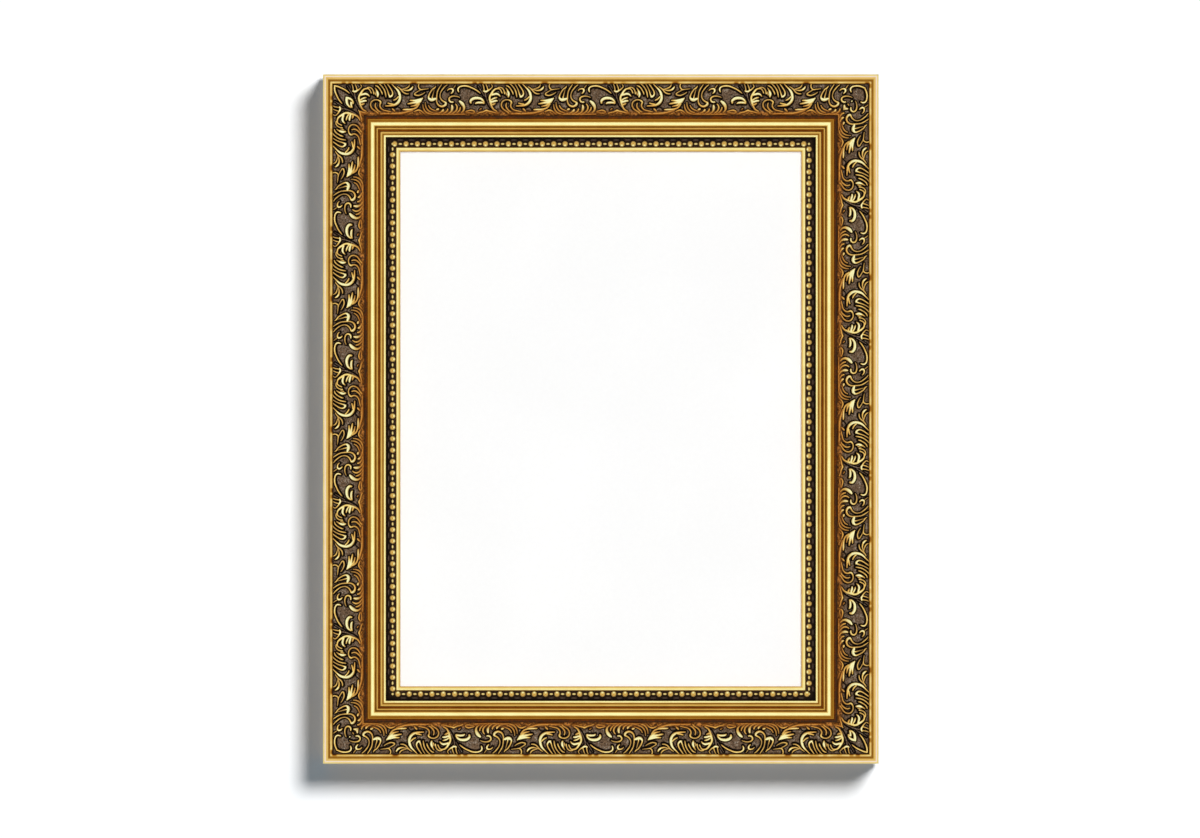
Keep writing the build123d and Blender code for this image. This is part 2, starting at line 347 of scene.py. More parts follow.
def notchStops():  # the leaf left along one repeat of the cord
    whole = gilding["cordLeaf"]
    stops = []
    for middle, half, left in gilding["cordNotches"]:
        floor = half * gilding["notchFloor"]
        for reach, level in ((-half, whole), (-floor, left), (floor, left), (half, whole)):
            stops.append(((middle + reach) / patternRepeat, (level, level, level, 1.0)))
    return stops


def giltShader(graph):
    tone, uneven, blush, satin = (graph.attribute(name) for name in ("tone", "uneven", "blush", "satin"))
    along, inwards, height = (graph.attribute(name) for name in ("along", "inwards", "height"))
    place = graph.place()
    cloud = graph.noise(place, gilding["cloudScale"], 3.0)
    streakPlace = graph.vector(along * gilding["streakStretch"], inwards, height)
    streak = graph.noise(streakPlace, gilding["streakScale"], 3.0, 0.6)
    lengthways, across = gilding["patchStretch"]
    patch = graph.noise(graph.vector(along * lengthways, inwards * across, height * across), 1.0, 4.0, 0.7)
    grit = graph.noise(place, gilding["gritScale"])
    hollow = graph.ease(tone, *gilding["hollowTones"])
    mottle = (cloud - 0.5) * gilding["cloudDepth"] + (streak - 0.5) * gilding["streakDepth"]
    mottle = mottle * (1 + hollow * gilding["hollowMottle"]) + (grit - 0.5) * hollow * gilding["hollowGrit"]
    phase = graph.attribute("phase").math("FRACT")
    leafLeft = graph.add("ShaderNodeValToRGB", {"stops": notchStops()}, {"Fac": phase})
    patchy = uneven * (patch - 0.5) * gilding["patchDepth"]
    worn = graph.ease(uneven, *gilding["cordSide"]) * (leafLeft - 0.5) * gilding["wearDepth"]
    shown = (tone + mottle + patchy + worn).math("MAXIMUM", tone.math("MINIMUM", gilding["deepest"]))
    # Painted reflection: the pale pinkish sheen blended over the gold
    sheenShare = blush * (1 - gilding["paintedSheenSpread"] / 2 + cloud * gilding["paintedSheenSpread"])
    colour = graph.blend(sheenShare, graph.ramp(shown, gilding["tones"]), gilding["blush"])
    rough = gilding["roughness"] + (streak - 0.5) * gilding["roughnessSpread"]
    rough = rough + (1 - tone) * gilding["darkRoughness"]
    metal = graph.ease(tone, *gilding["metalTones"], *gilding["metal"])
    metal = metal - graph.ease(tone, *gilding["paleTones"]) * gilding["paleLoss"]
    metal = metal * (1 - satin * gilding["satinLoss"])
    normal = graph.bump(streak + grit, gilding["bumpStrength"], gilding["bump"])
    others = {"Metallic": metal, "Specular IOR Level": gilding["specular"]}
    return graph.surface(colour, rough, normal, others)


# Bare timber of the back and the rebate, its grain along each rail
timber = {
    "pale": (214, 182, 136),
    "dark": (176, 136, 90),
    "seam": (70, 48, 28),  # the line of each mitre
    "seamWidth": (0.5, 0.1),
    "seamDepth": 0.8,
    "stretch": 0.03,
    "ring": 0.55,
    "ringPitch": 0.25,
    "bendScale": 0.35,
    "bend": 26.0,
    "fibre": 5.0,
    "fibreShare": 0.55,
    "roughness": 0.62,
    "roughnessSpread": 0.2,
    "bump": 0.0003,
    "bumpStrength": 0.5,
}


def timberShader(graph):
    inwards = graph.attribute("inwards")
    stretched = graph.attribute("along") * timber["stretch"]
    bend = graph.noise(graph.vector(stretched, inwards * timber["ring"], 0.0), timber["bendScale"])
    rings = (bend * timber["bend"] + inwards * timber["ringPitch"]).math("SINE") * 0.5 + 0.5
    fibre = graph.noise(graph.vector(stretched, inwards, 0.0), timber["fibre"], 3.0, 0.7)
    shade = rings * (1 - timber["fibreShare"]) + fibre * timber["fibreShare"]
    grain = graph.blend(shade, timber["pale"], timber["dark"])
    seam = graph.ease(graph.attribute("mitre"), *timber["seamWidth"]) * timber["seamDepth"]
    rough = timber["roughness"] + fibre * timber["roughnessSpread"]
    normal = graph.bump(fibre, timber["bumpStrength"], timber["bump"])
    return graph.surface(graph.blend(seam, grain, timber["seam"]), rough, normal)


gilt = newMaterial("antique_gilding", giltShader)
bareTimber = newMaterial("bare_timber", timberShader)

# Moulding: member widths inwards from the outer edge and heights above the back, in millimetres
moulding = {
    "depth": (backY - frontY) / mm,
    "rimWidth": 3.8,
    "rimRound": 1.2,
    "quirkWidth": 0.95,
    "quirkHeight": 30.2,
    "cordWidth": 2.35,
    "cordRise": 1.05,
    "bedWidth": 23.2,
    "bedOuter": 26.4,
    "bedInner": 15.6,
    "coveWidth": 2.35,
    "coveHeight": 17.2,
    "stepWidth": 2.1,
    "stepHeight": 19.4,
    "filletWidth": 3.27,
    "filletHeight": 22.2,
    "reedWidths": (2.1, 2.4),
    "grooveWidth": 0.45,  # on the far side of each reed
    "valleyWidth": 0.88,  # between the two reeds
    "valleyHeight": 18.0,
    "reedHeights": (19.0, 17.8),
    "reedRise": 1.1,
    "innerWidth": 1.62,
    "innerHeight": 18.4,
    "channelWidth": 7.58,
    "channelHeight": 12.8,
    "sightWidth": 3.0,
    "sightHeight": 14.4,
    "sightRound": 0.5,
    "rebateLip": 5.0,
    "rebateDepth": 10.2,
    "backInset": 0.12,  # the planed back lies this far in, so that the corner nails show
    "edgeEase": 0.3,
    "sideTones": (0.24, 0.46, 0.62),  # on the outer side, at the back, near it and half way up
    "sideShares": (0.08, 0.5),
    "rimTones": (0.87, 0.9, 0.86, 0.8, 0.74),  # on the rounding, at the three shares and at the edge
    # the painted reflection line on the rim's flat
    "rimShares": (0.32, 0.52, 0.57),
    "rimPaintedSheen": (1.0, 1.0, 0.0),
    "quirkTones": (0.42, 0.43),
    "quirkShares": (0.0, 0.8),
    "cordTones": (0.52, 0.79, 0.22),  # of a rounded member: outer foot, crest and inner foot
    "bedTone": 0.1,
    "coveTones": (0.12, 0.1, 0.14, 0.23),
    "coveShares": (0.0, 0.3, 0.6),
    "stepTones": (0.27, 0.5, 0.36, 0.5),
    "filletTones": ((0.0, 0.66), (0.16, 0.92), (0.4, 1.0), (0.66, 0.97), (0.87, 0.72), (1.0, 0.5)),
    "grooveTones": (0.4, 0.44),
    "reedTones": ((0.43, 0.72, 0.24), (0.3, 0.74, 0.44)),
    "valleyTones": (0.22, 0.26),
    "innerTones": ((0.0, 0.74), (0.3, 0.95), (0.72, 0.99), (1.0, 0.84)),
    # the channel floor is painted near black: painted shade in the deep channel
    "channelTones": (0.0, 0.02),
    "sightTones": ((0.0, 0.8), (0.2, 0.98), (0.45, 0.9), (0.7, 0.81), (1.0, 0.68)),
    "rebateTones": (0.6, 0.5, 0.5),
    "stepsAlong": 260,
    "waviness": 0.16,
    "waveRate": 260.0,
    "waveSink": 0.6,
    "seed": 3.0,
}
cordStart = moulding["rimWidth"] + moulding["quirkWidth"]
bedStart = cordStart + moulding["cordWidth"]
coveStart = bedStart + moulding["bedWidth"]
stepStart = coveStart + moulding["coveWidth"]
filletStart = stepStart + moulding["stepWidth"]
grooveStart = filletStart + moulding["filletWidth"]
reedStart = grooveStart + moulding["grooveWidth"]
valleyStart = reedStart + moulding["reedWidths"][0]
valleyEnd = valleyStart + moulding["valleyWidth"]
innerStart = valleyEnd + moulding["reedWidths"][1] + moulding["grooveWidth"]
channelStart = innerStart + moulding["innerWidth"]
sightStart = channelStart + moulding["channelWidth"]
mouldingWidth = sightStart + moulding["sightWidth"]
rebateStart = mouldingWidth - moulding["rebateLip"]


def corner(inwards, height, tone, ease=0.0, uneven=0.1, blush=0.0):
    return {"inwards": inwards, "height": height, "tone": tone,
            "ease": ease, "uneven": uneven, "blush": blush}


def bulge(start, width, foot, rise, tones, uneven, count=8):  # a rounded member, from foot to foot
    outerTone, crestTone, innerTone = tones
    points = []
    for number in range(count + 1):
        share = number / count
        gleam = math.sin(math.pi * share ** 0.9) ** 1.5  # painted highlight along the crest, with the rubbed gilding, a little to the outer side
        side = outerTone if share < 0.5 else innerTone
        across = start + width * (1 - math.cos(math.pi * share)) / 2
        height = foot + rise * math.sin(math.pi * share)
        tone = side + (crestTone - side) * gleam
        points.append(corner(across, height, tone, 0.0, uneven * (0.6 + 0.8 * share)))
    return points


def easeCorners(points, count=4):  # round each corner that asks for it
    eased = []
    for number, point in enumerate(points):
        here = Vector((point["inwards"], point["height"]))
        if not point["ease"]:
            eased.append(point)
            continue
        before = points[number - 1]
        after = points[(number + 1) % len(points)]
        inFrom = here + (Vector((before["inwards"], before["height"])) - here).normalized() * point["ease"]
        outTo = here + (Vector((after["inwards"], after["height"])) - here).normalized() * point["ease"]
        for step in range(count + 1):
            share = step / count
            spot = inFrom * (1 - share) ** 2 + here * 2 * share * (1 - share) + outTo * share ** 2
            eased.append(corner(spot.x, spot.y, point["tone"], 0.0, point["uneven"], point["blush"]))
    return eased


def band(start, width, height, tones, ease):  # a flat member, its tones at shares of its width
    flat = [corner(start + width * share, height, tone) for share, tone in tones]
    flat[0]["ease"] = ease
    flat[-1]["ease"] = ease
    return flat


def mouldingOutline():
    m = moulding
    ease = m["edgeEase"]
    rim = m["rimWidth"]
    reedOne, reedTwo = m["reedHeights"]
    rounded, *rimTones, rimEnd = m["rimTones"]
    outline = [corner(0.0, m["backInset"], m["sideTones"][0], 0.0, 0.0)]
    outline += [corner(0.0, m["depth"] * share, tone, 0.0, 0.2)
                for share, tone in zip(m["sideShares"], m["sideTones"][1:])]
    outline.append(corner(0.0, m["depth"], rounded, m["rimRound"], 0.0))
    outline += [corner(rim * share, m["depth"], tone, 0.0, 0.0, blush)
                for share, tone, blush in zip(m["rimShares"], rimTones, m["rimPaintedSheen"])]
    outline.append(corner(rim, m["depth"], rimEnd, ease, 0.0))
    outline += [corner(rim + m["quirkWidth"] * share, m["quirkHeight"], tone, 0.0, 0.2)
                for share, tone in zip(m["quirkShares"], m["quirkTones"])]
    outline += bulge(cordStart, m["cordWidth"], m["quirkHeight"], m["cordRise"], m["cordTones"], 1.0)
    outline += [corner(across, height, m["bedTone"])
                for across, height in ((bedStart, m["bedOuter"]), (coveStart, m["bedInner"]))]
    coveSpots = [coveStart + m["coveWidth"] * share for share in m["coveShares"]]
    outline += [corner(across, m["coveHeight"], tone)
                for across, tone in zip((*coveSpots, stepStart - ease), m["coveTones"])]
    foot, edge, middle, far = m["stepTones"]
    outline += [
        corner(stepStart, m["coveHeight"] + ease, foot),
        corner(stepStart, m["stepHeight"], edge, ease),
        corner(stepStart + m["stepWidth"] * 0.5, m["stepHeight"], middle),
        corner(filletStart, m["stepHeight"], far),
    ]
    outline += band(filletStart, m["filletWidth"], m["filletHeight"], m["filletTones"], ease)
    outline.append(corner(grooveStart, reedOne, m["grooveTones"][0]))
    outline += bulge(reedStart, m["reedWidths"][0], reedOne, m["reedRise"], m["reedTones"][0], 0.2)
    outline += [corner(across, m["valleyHeight"], tone)
                for across, tone in zip((valleyStart, valleyEnd), m["valleyTones"])]
    outline += bulge(valleyEnd, m["reedWidths"][1], reedTwo, m["reedRise"], m["reedTones"][1], 0.2)
    outline.append(corner(innerStart, reedTwo, m["grooveTones"][1]))
    outline += band(innerStart, m["innerWidth"], m["innerHeight"], m["innerTones"], ease)
    outline += [corner(across, m["channelHeight"], tone)
                for across, tone in zip((channelStart, sightStart), m["channelTones"])]
    outline += band(sightStart, m["sightWidth"], m["sightHeight"], m["sightTones"], m["sightRound"])
    outline += [corner(across, height, tone) for across, height, tone in zip(
        (mouldingWidth, rebateStart, rebateStart), (m["rebateDepth"], m["rebateDepth"], m["backInset"]),
        m["rebateTones"])]
    return easeCorners(outline)


def outlineMesh(name, outline):
    points = [(0.0, point["inwards"] * mm, point["height"] * mm) for point in outline]
    values = {key: [point[key] for point in outline] for key in ("tone", "uneven", "blush")}
    return pointMesh(name, points, [], values)


def sweepTree():  # an outline drawn along a rail, its ends cut to the mitres
    graph = newTree("mitredSweep", {
        "Outline Points": "Int", "Rail Length": "Float", "Steps Along": "Int", "Waviness": "Float",
        "Wave Rate": "Float", "Wave Sink": "Float", "Seed": "Float", "Rebate Start": "Float",
        "Rebate Depth": "Float", "Back Inset": "Float", "Pattern Start": "Float", "Repeat": "Float",
        "Face": "Material", "Back": "Material"})
    outline = graph.given("Geometry")
    count = graph.given("Outline Points")
    steps = graph.given("Steps Along")
    length = graph.given("Rail Length")
    sheet = graph.grid(steps + 1, count + 1)
    index = graph.add("GeometryNodeInputIndex")
    column = ((index + 0.5) / (count + 1)).math("FLOOR")
    row = index - column * (count + 1)
    which = row * (row < count - 0.5)  # the last row lies on the first, which closes the outline

    def fromOutline(kind, value):
        return graph.add("GeometryNodeSampleIndex", {"data_type": kind},
                         {"Geometry": outline, "Value": value, "Index": which})

    inwards = graph.split(fromOutline("FLOAT_VECTOR", graph.position()), "Y")
    height = inwards.also("Z")
    tone, uneven, blush = (fromOutline("FLOAT", graph.stored(name)) for name in ("tone", "uneven", "blush"))
    along = inwards + column / steps * (length - inwards * 2)
    wave = graph.noise(graph.vector(along * graph.given("Wave Rate"), graph.given("Seed"), 0.0), 1.0)
    lift = (wave - graph.given("Wave Sink")) * uneven * graph.given("Waviness")
    mitre = (along - inwards).math("MINIMUM", length - inwards - along)
    phase = (along - graph.given("Pattern Start")) / graph.given("Repeat")
    held = graph.store(sheet, {
        "tone": tone, "uneven": uneven, "blush": blush, "along": along / mm, "inwards": inwards / mm,
        "height": height / mm, "mitre": mitre / mm, "phase": phase})
    drawn = graph.welded(graph.move(held, graph.vector(along, inwards, height + lift)))
    faced = graph.dressed(drawn, graph.given("Face"))
    middle = graph.split(graph.position(), "Y")
    high = middle.also("Z")
    onBack = high < graph.given("Back Inset") + slack
    inRebate = (middle > graph.given("Rebate Start") - slack) * (high < graph.given("Rebate Depth") + slack)
    backing = {"Geometry": faced, "Selection": onBack + inRebate, "Material": graph.given("Back")}
    return graph.end(graph.add("GeometryNodeSetMaterial", {}, backing))


sweep = sweepTree()


def sweepRail(outline, rail, face, back):
    return growMesh(sweep, outlineMesh("outline", outline), {
        "Outline Points": len(outline),
        "Rail Length": rail["length"],
        "Steps Along": moulding["stepsAlong"],
        "Waviness": moulding["waviness"] * mm,
        "Wave Rate": moulding["waveRate"],
        "Wave Sink": moulding["waveSink"],
        "Seed": moulding["seed"],
        "Rebate Start": rebateStart * mm,
        "Rebate Depth": moulding["rebateDepth"] * mm,
        "Back Inset": moulding["backInset"] * mm,
        "Pattern Start": rail["patternStart"] * mm,
        "Repeat": patternRepeat * mm,
        "Face": face,
        "Back": back,
    })


for side, rail in rails.items():
    mesh = sweepRail(mouldingOutline(), rail, gilt, bareTimber)
    finishPiece(side + "_moulding", mesh, railMatrix(rail), 28, side + "_rail")
print("mouldings drawn")

# Relief: one repeat of the leaf scroll as carved strokes, (along, inwards, half width) in millimetres,
# then how bright each crest is painted from its first end to its last, as rubbed gilding and painted
# highlight together, 0 for a stem without gold
relief = {
    "outerHeight": 29.4,
    "crown": 2.9,
    "innerHeight": 18.6,
    "sink": 0.5,
    "capHeight": 0.8,
    "domeShare": 0.55,
    "flank": 0.7,
    "lee": 0.45,  # painted shadow: the dark wash is shifted this far to the side of each stroke towards the sight edge
    "stipple": 0.16,
    "pitScale": 950.0,
    "groundPits": 2.3,  # the stipple is strong on the ground and faint on the crests
    "crestPits": 0.3,
    "cell": 0.34,
    "strokeStep": 0.25,
    "endGirth": 0.8,
    "seed": 5.0,
}
combScroll = [
    ([(6.3, 27.2, .6), (4.2, 25.9, .6), (2.9, 24.3, .7), (2.1, 22.3, .85), (1.7, 20.2, 1.0),
      (1.1, 18.0, .75), (1.4, 16.0, .75), (2.5, 14.2, .85), (3.6, 12.4, .75), (5.0, 11.0, .65),
      (6.6, 10.5, .6), (8.2, 10.6, .55), (9.3, 11.8, .5), (10.2, 13.7, .55)],
     (.5, .65, .75, .7, .75, .6, .55, .7)),
    ([(7.2, 9.7, .5), (9.2, 9.6, .5), (10.8, 10.6, .45), (11.7, 12.2, .45), (12.1, 14.2, .6)],
     (.5, .45, .5, .85)),
    ([(13.0, 10.0, .4), (14.0, 11.5, .55), (14.8, 13.5, .9), (15.0, 14.8, 1.0), (14.8, 16.4, .75)],
     (.35, .5, 1.0, 1.0, .7)),
    ([(13.0, 12.8, .35), (13.3, 14.2, .45), (13.6, 15.2, .5)], (.4, .6)),
    ([(2.6, 15.2, .8), (4.4, 14.6, .8), (6.1, 14.3, .8), (7.7, 14.9, .65), (8.9, 16.2, .4)],
     (.8, 1.0, .95, .5)),
    ([(2.2, 18.9, .6), (3.7, 17.9, .55), (5.2, 17.3, .55), (6.5, 17.0, .4)], (.8, .85, .55)),
    ([(2.0, 20.2, .9), (3.6, 20.0, .75), (5.2, 19.5, .75), (6.6, 19.4, .55)], (.8, 1.0, .9)),
    ([(2.6, 22.4, .6), (3.9, 22.0, .6), (5.1, 21.4, .4)], (.6, .4)),
]
plumeFan = [
    ([(13.2, 8.3, .4), (14.8, 8.9, .5), (16.2, 10.3, .45), (17.2, 11.9, .45), (18.1, 13.7, .5),
      (18.3, 14.8, .4)], (.5, .6, .5, .6, .75, .5)),
    ([(16.0, 6.9, .4), (17.6, 8.4, .45), (19.0, 10.2, .45), (20.0, 12.0, .48), (20.6, 14.0, .5),
      (21.0, 16.6, .45)], (.45, .45, .5, .75, .5)),
    ([(19.6, 7.2, .35), (20.7, 8.9, .4), (21.7, 10.8, .4), (22.4, 12.6, .42), (23.0, 14.6, .5),
      (23.7, 16.3, .7)], (.35, .45, .5, .75, 1.0)),
    ([(22.2, 7.3, .45), (23.6, 9.2, .5), (24.8, 11.0, .5), (25.6, 12.6, .5), (25.9, 14.2, .55),
      (25.4, 15.5, .65), (24.3, 16.4, .8), (23.5, 16.6, .6)], (.5, .55, .6, .8, 1.0, 1.0)),
    ([(25.2, 7.1, .4), (27.2, 9.2, .55), (28.5, 10.5, .65), (29.8, 12.0, .8), (30.7, 13.8, .95),
      (31.1, 15.7, 1.0), (31.2, 17.5, 1.0), (30.7, 19.3, 1.0), (29.6, 20.9, .95), (28.0, 22.1, .85),
      (26.0, 22.8, .7), (23.6, 23.1, .55), (20.6, 23.2, .4)],
     (.45, .65, .95, 1.0, .95, .8, .75, .65, .45)),
    ([(26.6, 19.0, .5), (27.8, 18.5, .5), (29.0, 17.6, .5), (30.2, 16.4, .6)], (.6, .6, .8)),
    ([(22.4, 21.1, .45), (24.2, 21.7, .5), (26.2, 22.0, .6)], (.5, .65)),
]
horseshoe = [
    ([(14.6, 27.8, .5), (12.4, 26.5, .5), (10.8, 25.2, .5), (9.8, 23.3, .5), (9.8, 21.4, .5),
      (10.8, 19.8, .5), (12.7, 18.8, .45), (14.9, 18.8, .4), (16.6, 19.7, .55), (17.1, 20.7, .6),
      (16.6, 22.2, .5), (16.6, 23.6, .5), (17.4, 25.0, .5), (19.0, 26.2, .45), (21.4, 26.8, .5),
      (24.4, 27.5, .4)], (.6, .5, .45, .4, .4, .75, .5, .5, .5, .5)),
    ([(13.5, 21.2, .45), (13.1, 22.6, .5), (13.3, 24.2, .5), (14.4, 25.8, .5), (15.6, 27.0, .5),
      (16.9, 27.7, .4)], (.45, .5, .6)),
]
sprig = [
    ([(29.2, 9.1, .4), (30.2, 9.6, .45), (31.4, 10.6, .5), (32.4, 11.6, .5), (33.3, 12.8, .5),
      (34.6, 13.8, .5), (36.2, 14.3, .5), (37.6, 14.3, .4)], (.45, .5, .5, .45)),
    ([(32.2, 10.8, .45), (33.8, 11.4, .5), (36.0, 11.9, .55), (38.0, 11.6, .65), (39.4, 10.8, .75),
      (40.4, 9.6, .6), (40.7, 8.7, .4)], (.4, .45, .6, .95, .5)),
    ([(33.4, 10.7, .4), (35.2, 10.3, .45), (36.6, 9.8, .5), (37.7, 8.9, .5), (38.4, 7.6, .4)],
     (.4, .55, .5)),
]
outlinedLeaves = [
    ([(45.2, 6.9, .5), (44.8, 8.4, .5), (45.1, 9.9, .5), (46.3, 11.2, .5), (48.4, 11.0, .4),
      (50.4, 10.8, .38), (52.2, 10.5, .34)], (.6, .6, .55, .45, .4)),
    ([(46.2, 11.6, .45), (44.8, 12.3, .42), (43.3, 13.2, .42), (42.1, 14.1, .48), (42.1, 14.9, .48),
      (43.3, 15.4, .46), (45.0, 15.5, .46), (46.8, 14.9, .44), (48.4, 14.1, .42), (49.7, 13.1, .36)],
     (.5, .5, .55, .5, .45)),
]
handLeaf = [
    ([(47.9, 17.4, .45), (46.5, 18.9, .9), (45.2, 20.4, 1.2), (44.0, 21.8, 1.1), (42.6, 23.0, .6)],
     (.9, .8, .7, .6)),
    ([(46.8, 18.0, .6), (44.4, 18.9, .85), (42.2, 19.3, .75), (40.2, 19.2, .62), (38.6, 19.1, .45)],
     (1.0, 1.0, .9, .6, .5)),
    ([(45.4, 19.9, 1.0), (43.0, 20.6, .85), (40.6, 21.0, .62), (38.6, 21.4, .56), (37.0, 21.6, .42)],
     (.8, .9, .75, .6, .5)),
    ([(44.2, 21.9, .9), (42.6, 22.7, .6), (40.8, 23.2, .45), (39.2, 23.5, .35)], (.7, .6, .4, .3)),
    ([(45.2, 21.6, .7), (44.2, 23.4, .55), (42.8, 24.7, .5), (40.6, 25.5, .5), (38.2, 25.8, .58),
      (35.8, 25.9, .7), (33.6, 25.9, .55)], (.7, .6, .6, .75, .95, .7)),
]
lowLeaves = [
    ([(14.3, 27.6, .6), (14.9, 28.6, .75), (15.6, 29.8, .4)], (.55, .3)),
    ([(16.8, 29.2, .6), (20.0, 29.2, .9), (25.0, 29.2, 1.0), (30.0, 29.1, 1.0), (34.0, 28.5, .85),
      (37.4, 27.4, .7), (40.6, 26.5, .45)], (.28, .25, .3, .35, .4, .4)),
    ([(25.7, 25.4, .55), (26.6, 26.2, .6), (27.5, 27.2, .45)], (.55, .6)),
    ([(28.4, 25.6, .7), (29.8, 25.3, .9), (31.0, 26.0, .7)], (0.0, 0.0)),
    ([(41.6, 27.4, .4), (43.0, 26.8, .5), (44.8, 26.3, .55), (46.4, 26.7, .5), (47.8, 27.8, .45),
      (49.2, 29.2, .45)], (.4, .6, .5, .35)),
    ([(40.2, 28.2, .4), (41.4, 29.6, .4)], (.4, .3)),
    ([(37.6, 29.6, .4), (39.4, 28.6, .45)], (.35, .45)),
    ([(45.4, 27.6, .45), (46.6, 29.2, .5)], (.4, .35)),
    ([(79.6, 27.3, .45), (81.6, 26.7, .5), (83.6, 26.4, .55), (85.2, 26.9, .5), (85.9, 27.8, .45),
      (84.8, 28.6, .45), (82.0, 28.4, .4), (79.6, 28.2, .4)], (.4, .5, .5, .4, .35)),
    ([(88.0, 28.9, .55), (89.8, 28.1, .5), (91.8, 27.7, .5), (93.4, 27.0, .6), (94.6, 26.6, .7),
      (96.2, 27.1, .6), (98.6, 27.6, .55), (101.0, 28.3, .5), (103.6, 28.5, .4)],
     (.5, .5, .6, .7, .5, .45, .3)),
    ([(93.6, 29.0, .45), (94.8, 28.1, .5)], (.35, .45)),
    ([(96.6, 28.5, .55), (97.9, 28.9, .6)], (.35, .3)),
    ([(100.6, 29.3, .4), (102.6, 29.2, .45)], (.3, .3)),
    ([(89.6, 25.9, .4), (90.7, 25.2, .5)], (.2, .3)),
]
fringe = [
    ([(48.0, 22.2, .35), (48.2, 24.2, .45), (48.9, 26.0, .5), (50.0, 27.6, .5), (51.6, 28.7, .5),
      (53.4, 29.2, .45)], (.3, .45, .55, .45)),
    ([(49.8, 20.6, .36), (49.9, 22.6, .4), (50.5, 24.6, .45), (51.7, 26.3, .45), (53.4, 27.5, .45),
      (55.4, 28.2, .4)], (.3, .4, .5, .4)),
    ([(52.2, 22.8, .38), (53.0, 24.4, .42), (54.4, 25.6, .42), (56.4, 26.5, .4), (58.0, 27.1, .35)],
     (.4, .45, .4, .25)),
    ([(58.3, 25.9, .8), (59.2, 25.6, .9)], (.75, .85)),
    ([(63.0, 25.9, .6), (62.6, 26.8, .8), (61.4, 27.8, .6), (59.6, 28.6, .45)], (.85, .8, .5, .35)),
    ([(66.2, 25.5, .55), (65.8, 26.8, .55), (64.6, 28.0, .5), (63.0, 28.8, .45)], (.7, .6, .45, .35)),
    ([(69.3, 22.9, .7), (69.5, 24.2, .95), (69.4, 25.6, .9), (68.8, 27.2, .6), (67.6, 28.4, .5),
      (66.0, 29.2, .4)], (.85, .9, .8, .55, .4)),
    ([(72.0, 21.8, .4), (72.9, 23.2, .5), (73.1, 24.8, .55), (72.4, 26.6, .5), (71.0, 28.0, .5),
      (69.4, 29.0, .4)], (.5, .65, .65, .5, .4)),
    ([(75.5, 24.2, .4), (75.2, 25.6, .5), (74.2, 27.2, .5), (72.8, 28.5, .45)], (.6, .6, .5, .4)),
    ([(54.0, 29.5, .5), (58.0, 29.4, .7), (63.0, 29.5, .6), (68.0, 29.6, .6), (73.0, 29.5, .6),
      (79.0, 29.4, .5)], (.3, .35, .35, .3, .25)),
]
calyx = [
    ([(57.6, 8.6, .4), (56.6, 10.0, .55), (55.1, 11.0, .5), (53.8, 12.8, .5), (52.8, 14.6, .5),
      (52.2, 16.4, .6), (52.3, 17.6, .75)], (.5, .6, .5, .5, .7, 1.0)),
    ([(52.3, 17.6, .8), (53.3, 18.4, 1.1), (54.6, 18.6, 1.2), (56.2, 18.3, 1.05), (57.6, 17.8, .75)],
     (1.0, 1.0)),
    ([(54.9, 17.6, .6), (55.0, 16.4, .42), (55.5, 14.6, .36), (56.0, 12.8, .34), (56.4, 11.2, .34)],
     (1.0, .6, .4, .4)),
]
hook = [
    ([(61.8, 7.5, .42), (60.6, 9.2, .48), (59.6, 10.8, .52), (58.7, 12.8, .48), (58.3, 15.0, .48),
      (58.1, 17.4, .5), (58.1, 19.6, .48), (58.7, 21.6, .5), (60.0, 23.0, .55), (61.8, 23.6, .6),
      (63.6, 23.1, .7), (64.7, 22.0, .8), (64.9, 20.9, .65), (63.8, 20.2, .5), (62.4, 19.4, .48),
      (61.2, 18.0, .46), (60.6, 16.2, .42), (60.8, 14.2, .4), (61.5, 12.4, .45), (62.8, 10.6, .52),
      (64.2, 9.0, .48), (65.8, 7.7, .42)], (.5, .65, .5, .55, .5, .6, .7, .9, .6, .5, .4, .55, .65, .5)),
    ([(65.9, 12.0, .42), (66.8, 11.1, .5), (68.2, 10.6, .55), (69.7, 10.8, .7), (70.2, 11.8, .72),
      (69.8, 13.0, .6), (68.8, 14.0, .48)], (.5, .6, .7, .95, .7)),
    ([(70.5, 10.2, .42), (71.2, 9.1, .38), (72.2, 7.8, .34)], (.45, .3)),
]
spiral = [
    ([(70.2, 20.3, .5), (69.0, 20.4, .58), (67.8, 19.8, .58), (67.2, 18.4, .58), (67.8, 17.0, .52),
      (69.4, 16.2, .48), (71.4, 16.0, .46), (73.4, 16.3, .44), (75.0, 17.0, .34)],
     (.85, .8, .65, .5, .4, .35)),
    ([(75.0, 19.8, .8), (76.1, 20.7, 1.15), (77.2, 22.0, 1.2), (78.0, 23.6, 1.0), (78.2, 25.2, .8),
      (77.6, 26.8, .6), (76.2, 28.3, .45)], (1.0, 1.0, .8, .75, .7, .45)),
]
archedLeaf = [
    ([(74.3, 12.9, .5), (73.8, 11.6, .68), (74.0, 10.2, .64), (75.2, 9.1, .6), (77.0, 8.6, .58),
      (79.2, 8.5, .62), (81.4, 8.9, .58), (83.6, 9.8, .56), (85.8, 10.8, .56), (87.6, 11.9, .54),
      (89.2, 13.1, .5), (90.2, 14.0, .36)], (.8, .95, .7, .65, .6, .6, .65, .4)),
    ([(83.1, 20.9, .75), (83.0, 19.6, 1.0), (84.1, 18.3, 1.0), (86.0, 17.5, 1.0), (88.2, 17.4, .95),
      (90.2, 17.8, .85), (91.8, 18.9, .75), (92.8, 20.4, .65)], (.7, .8, 1.0, 1.0, 1.0, .8, .65)),
    ([(86.6, 21.4, .5), (87.6, 20.9, .68), (89.4, 20.7, .72), (91.2, 20.8, .72), (92.8, 21.2, .58)],
     (.8, .9, .85, .7)),
]
stems = [
    ([(93.9, 13.8, .7), (94.0, 15.6, .58), (94.6, 17.8, .45), (95.4, 19.8, .4), (96.6, 22.2, .38),
      (98.0, 24.4, .34)], (0.0, 0.0)),
    ([(88.4, 8.4, .36), (90.0, 11.0, .38), (91.6, 13.5, .38), (93.0, 15.9, .38)], (0.0, 0.0)),
]
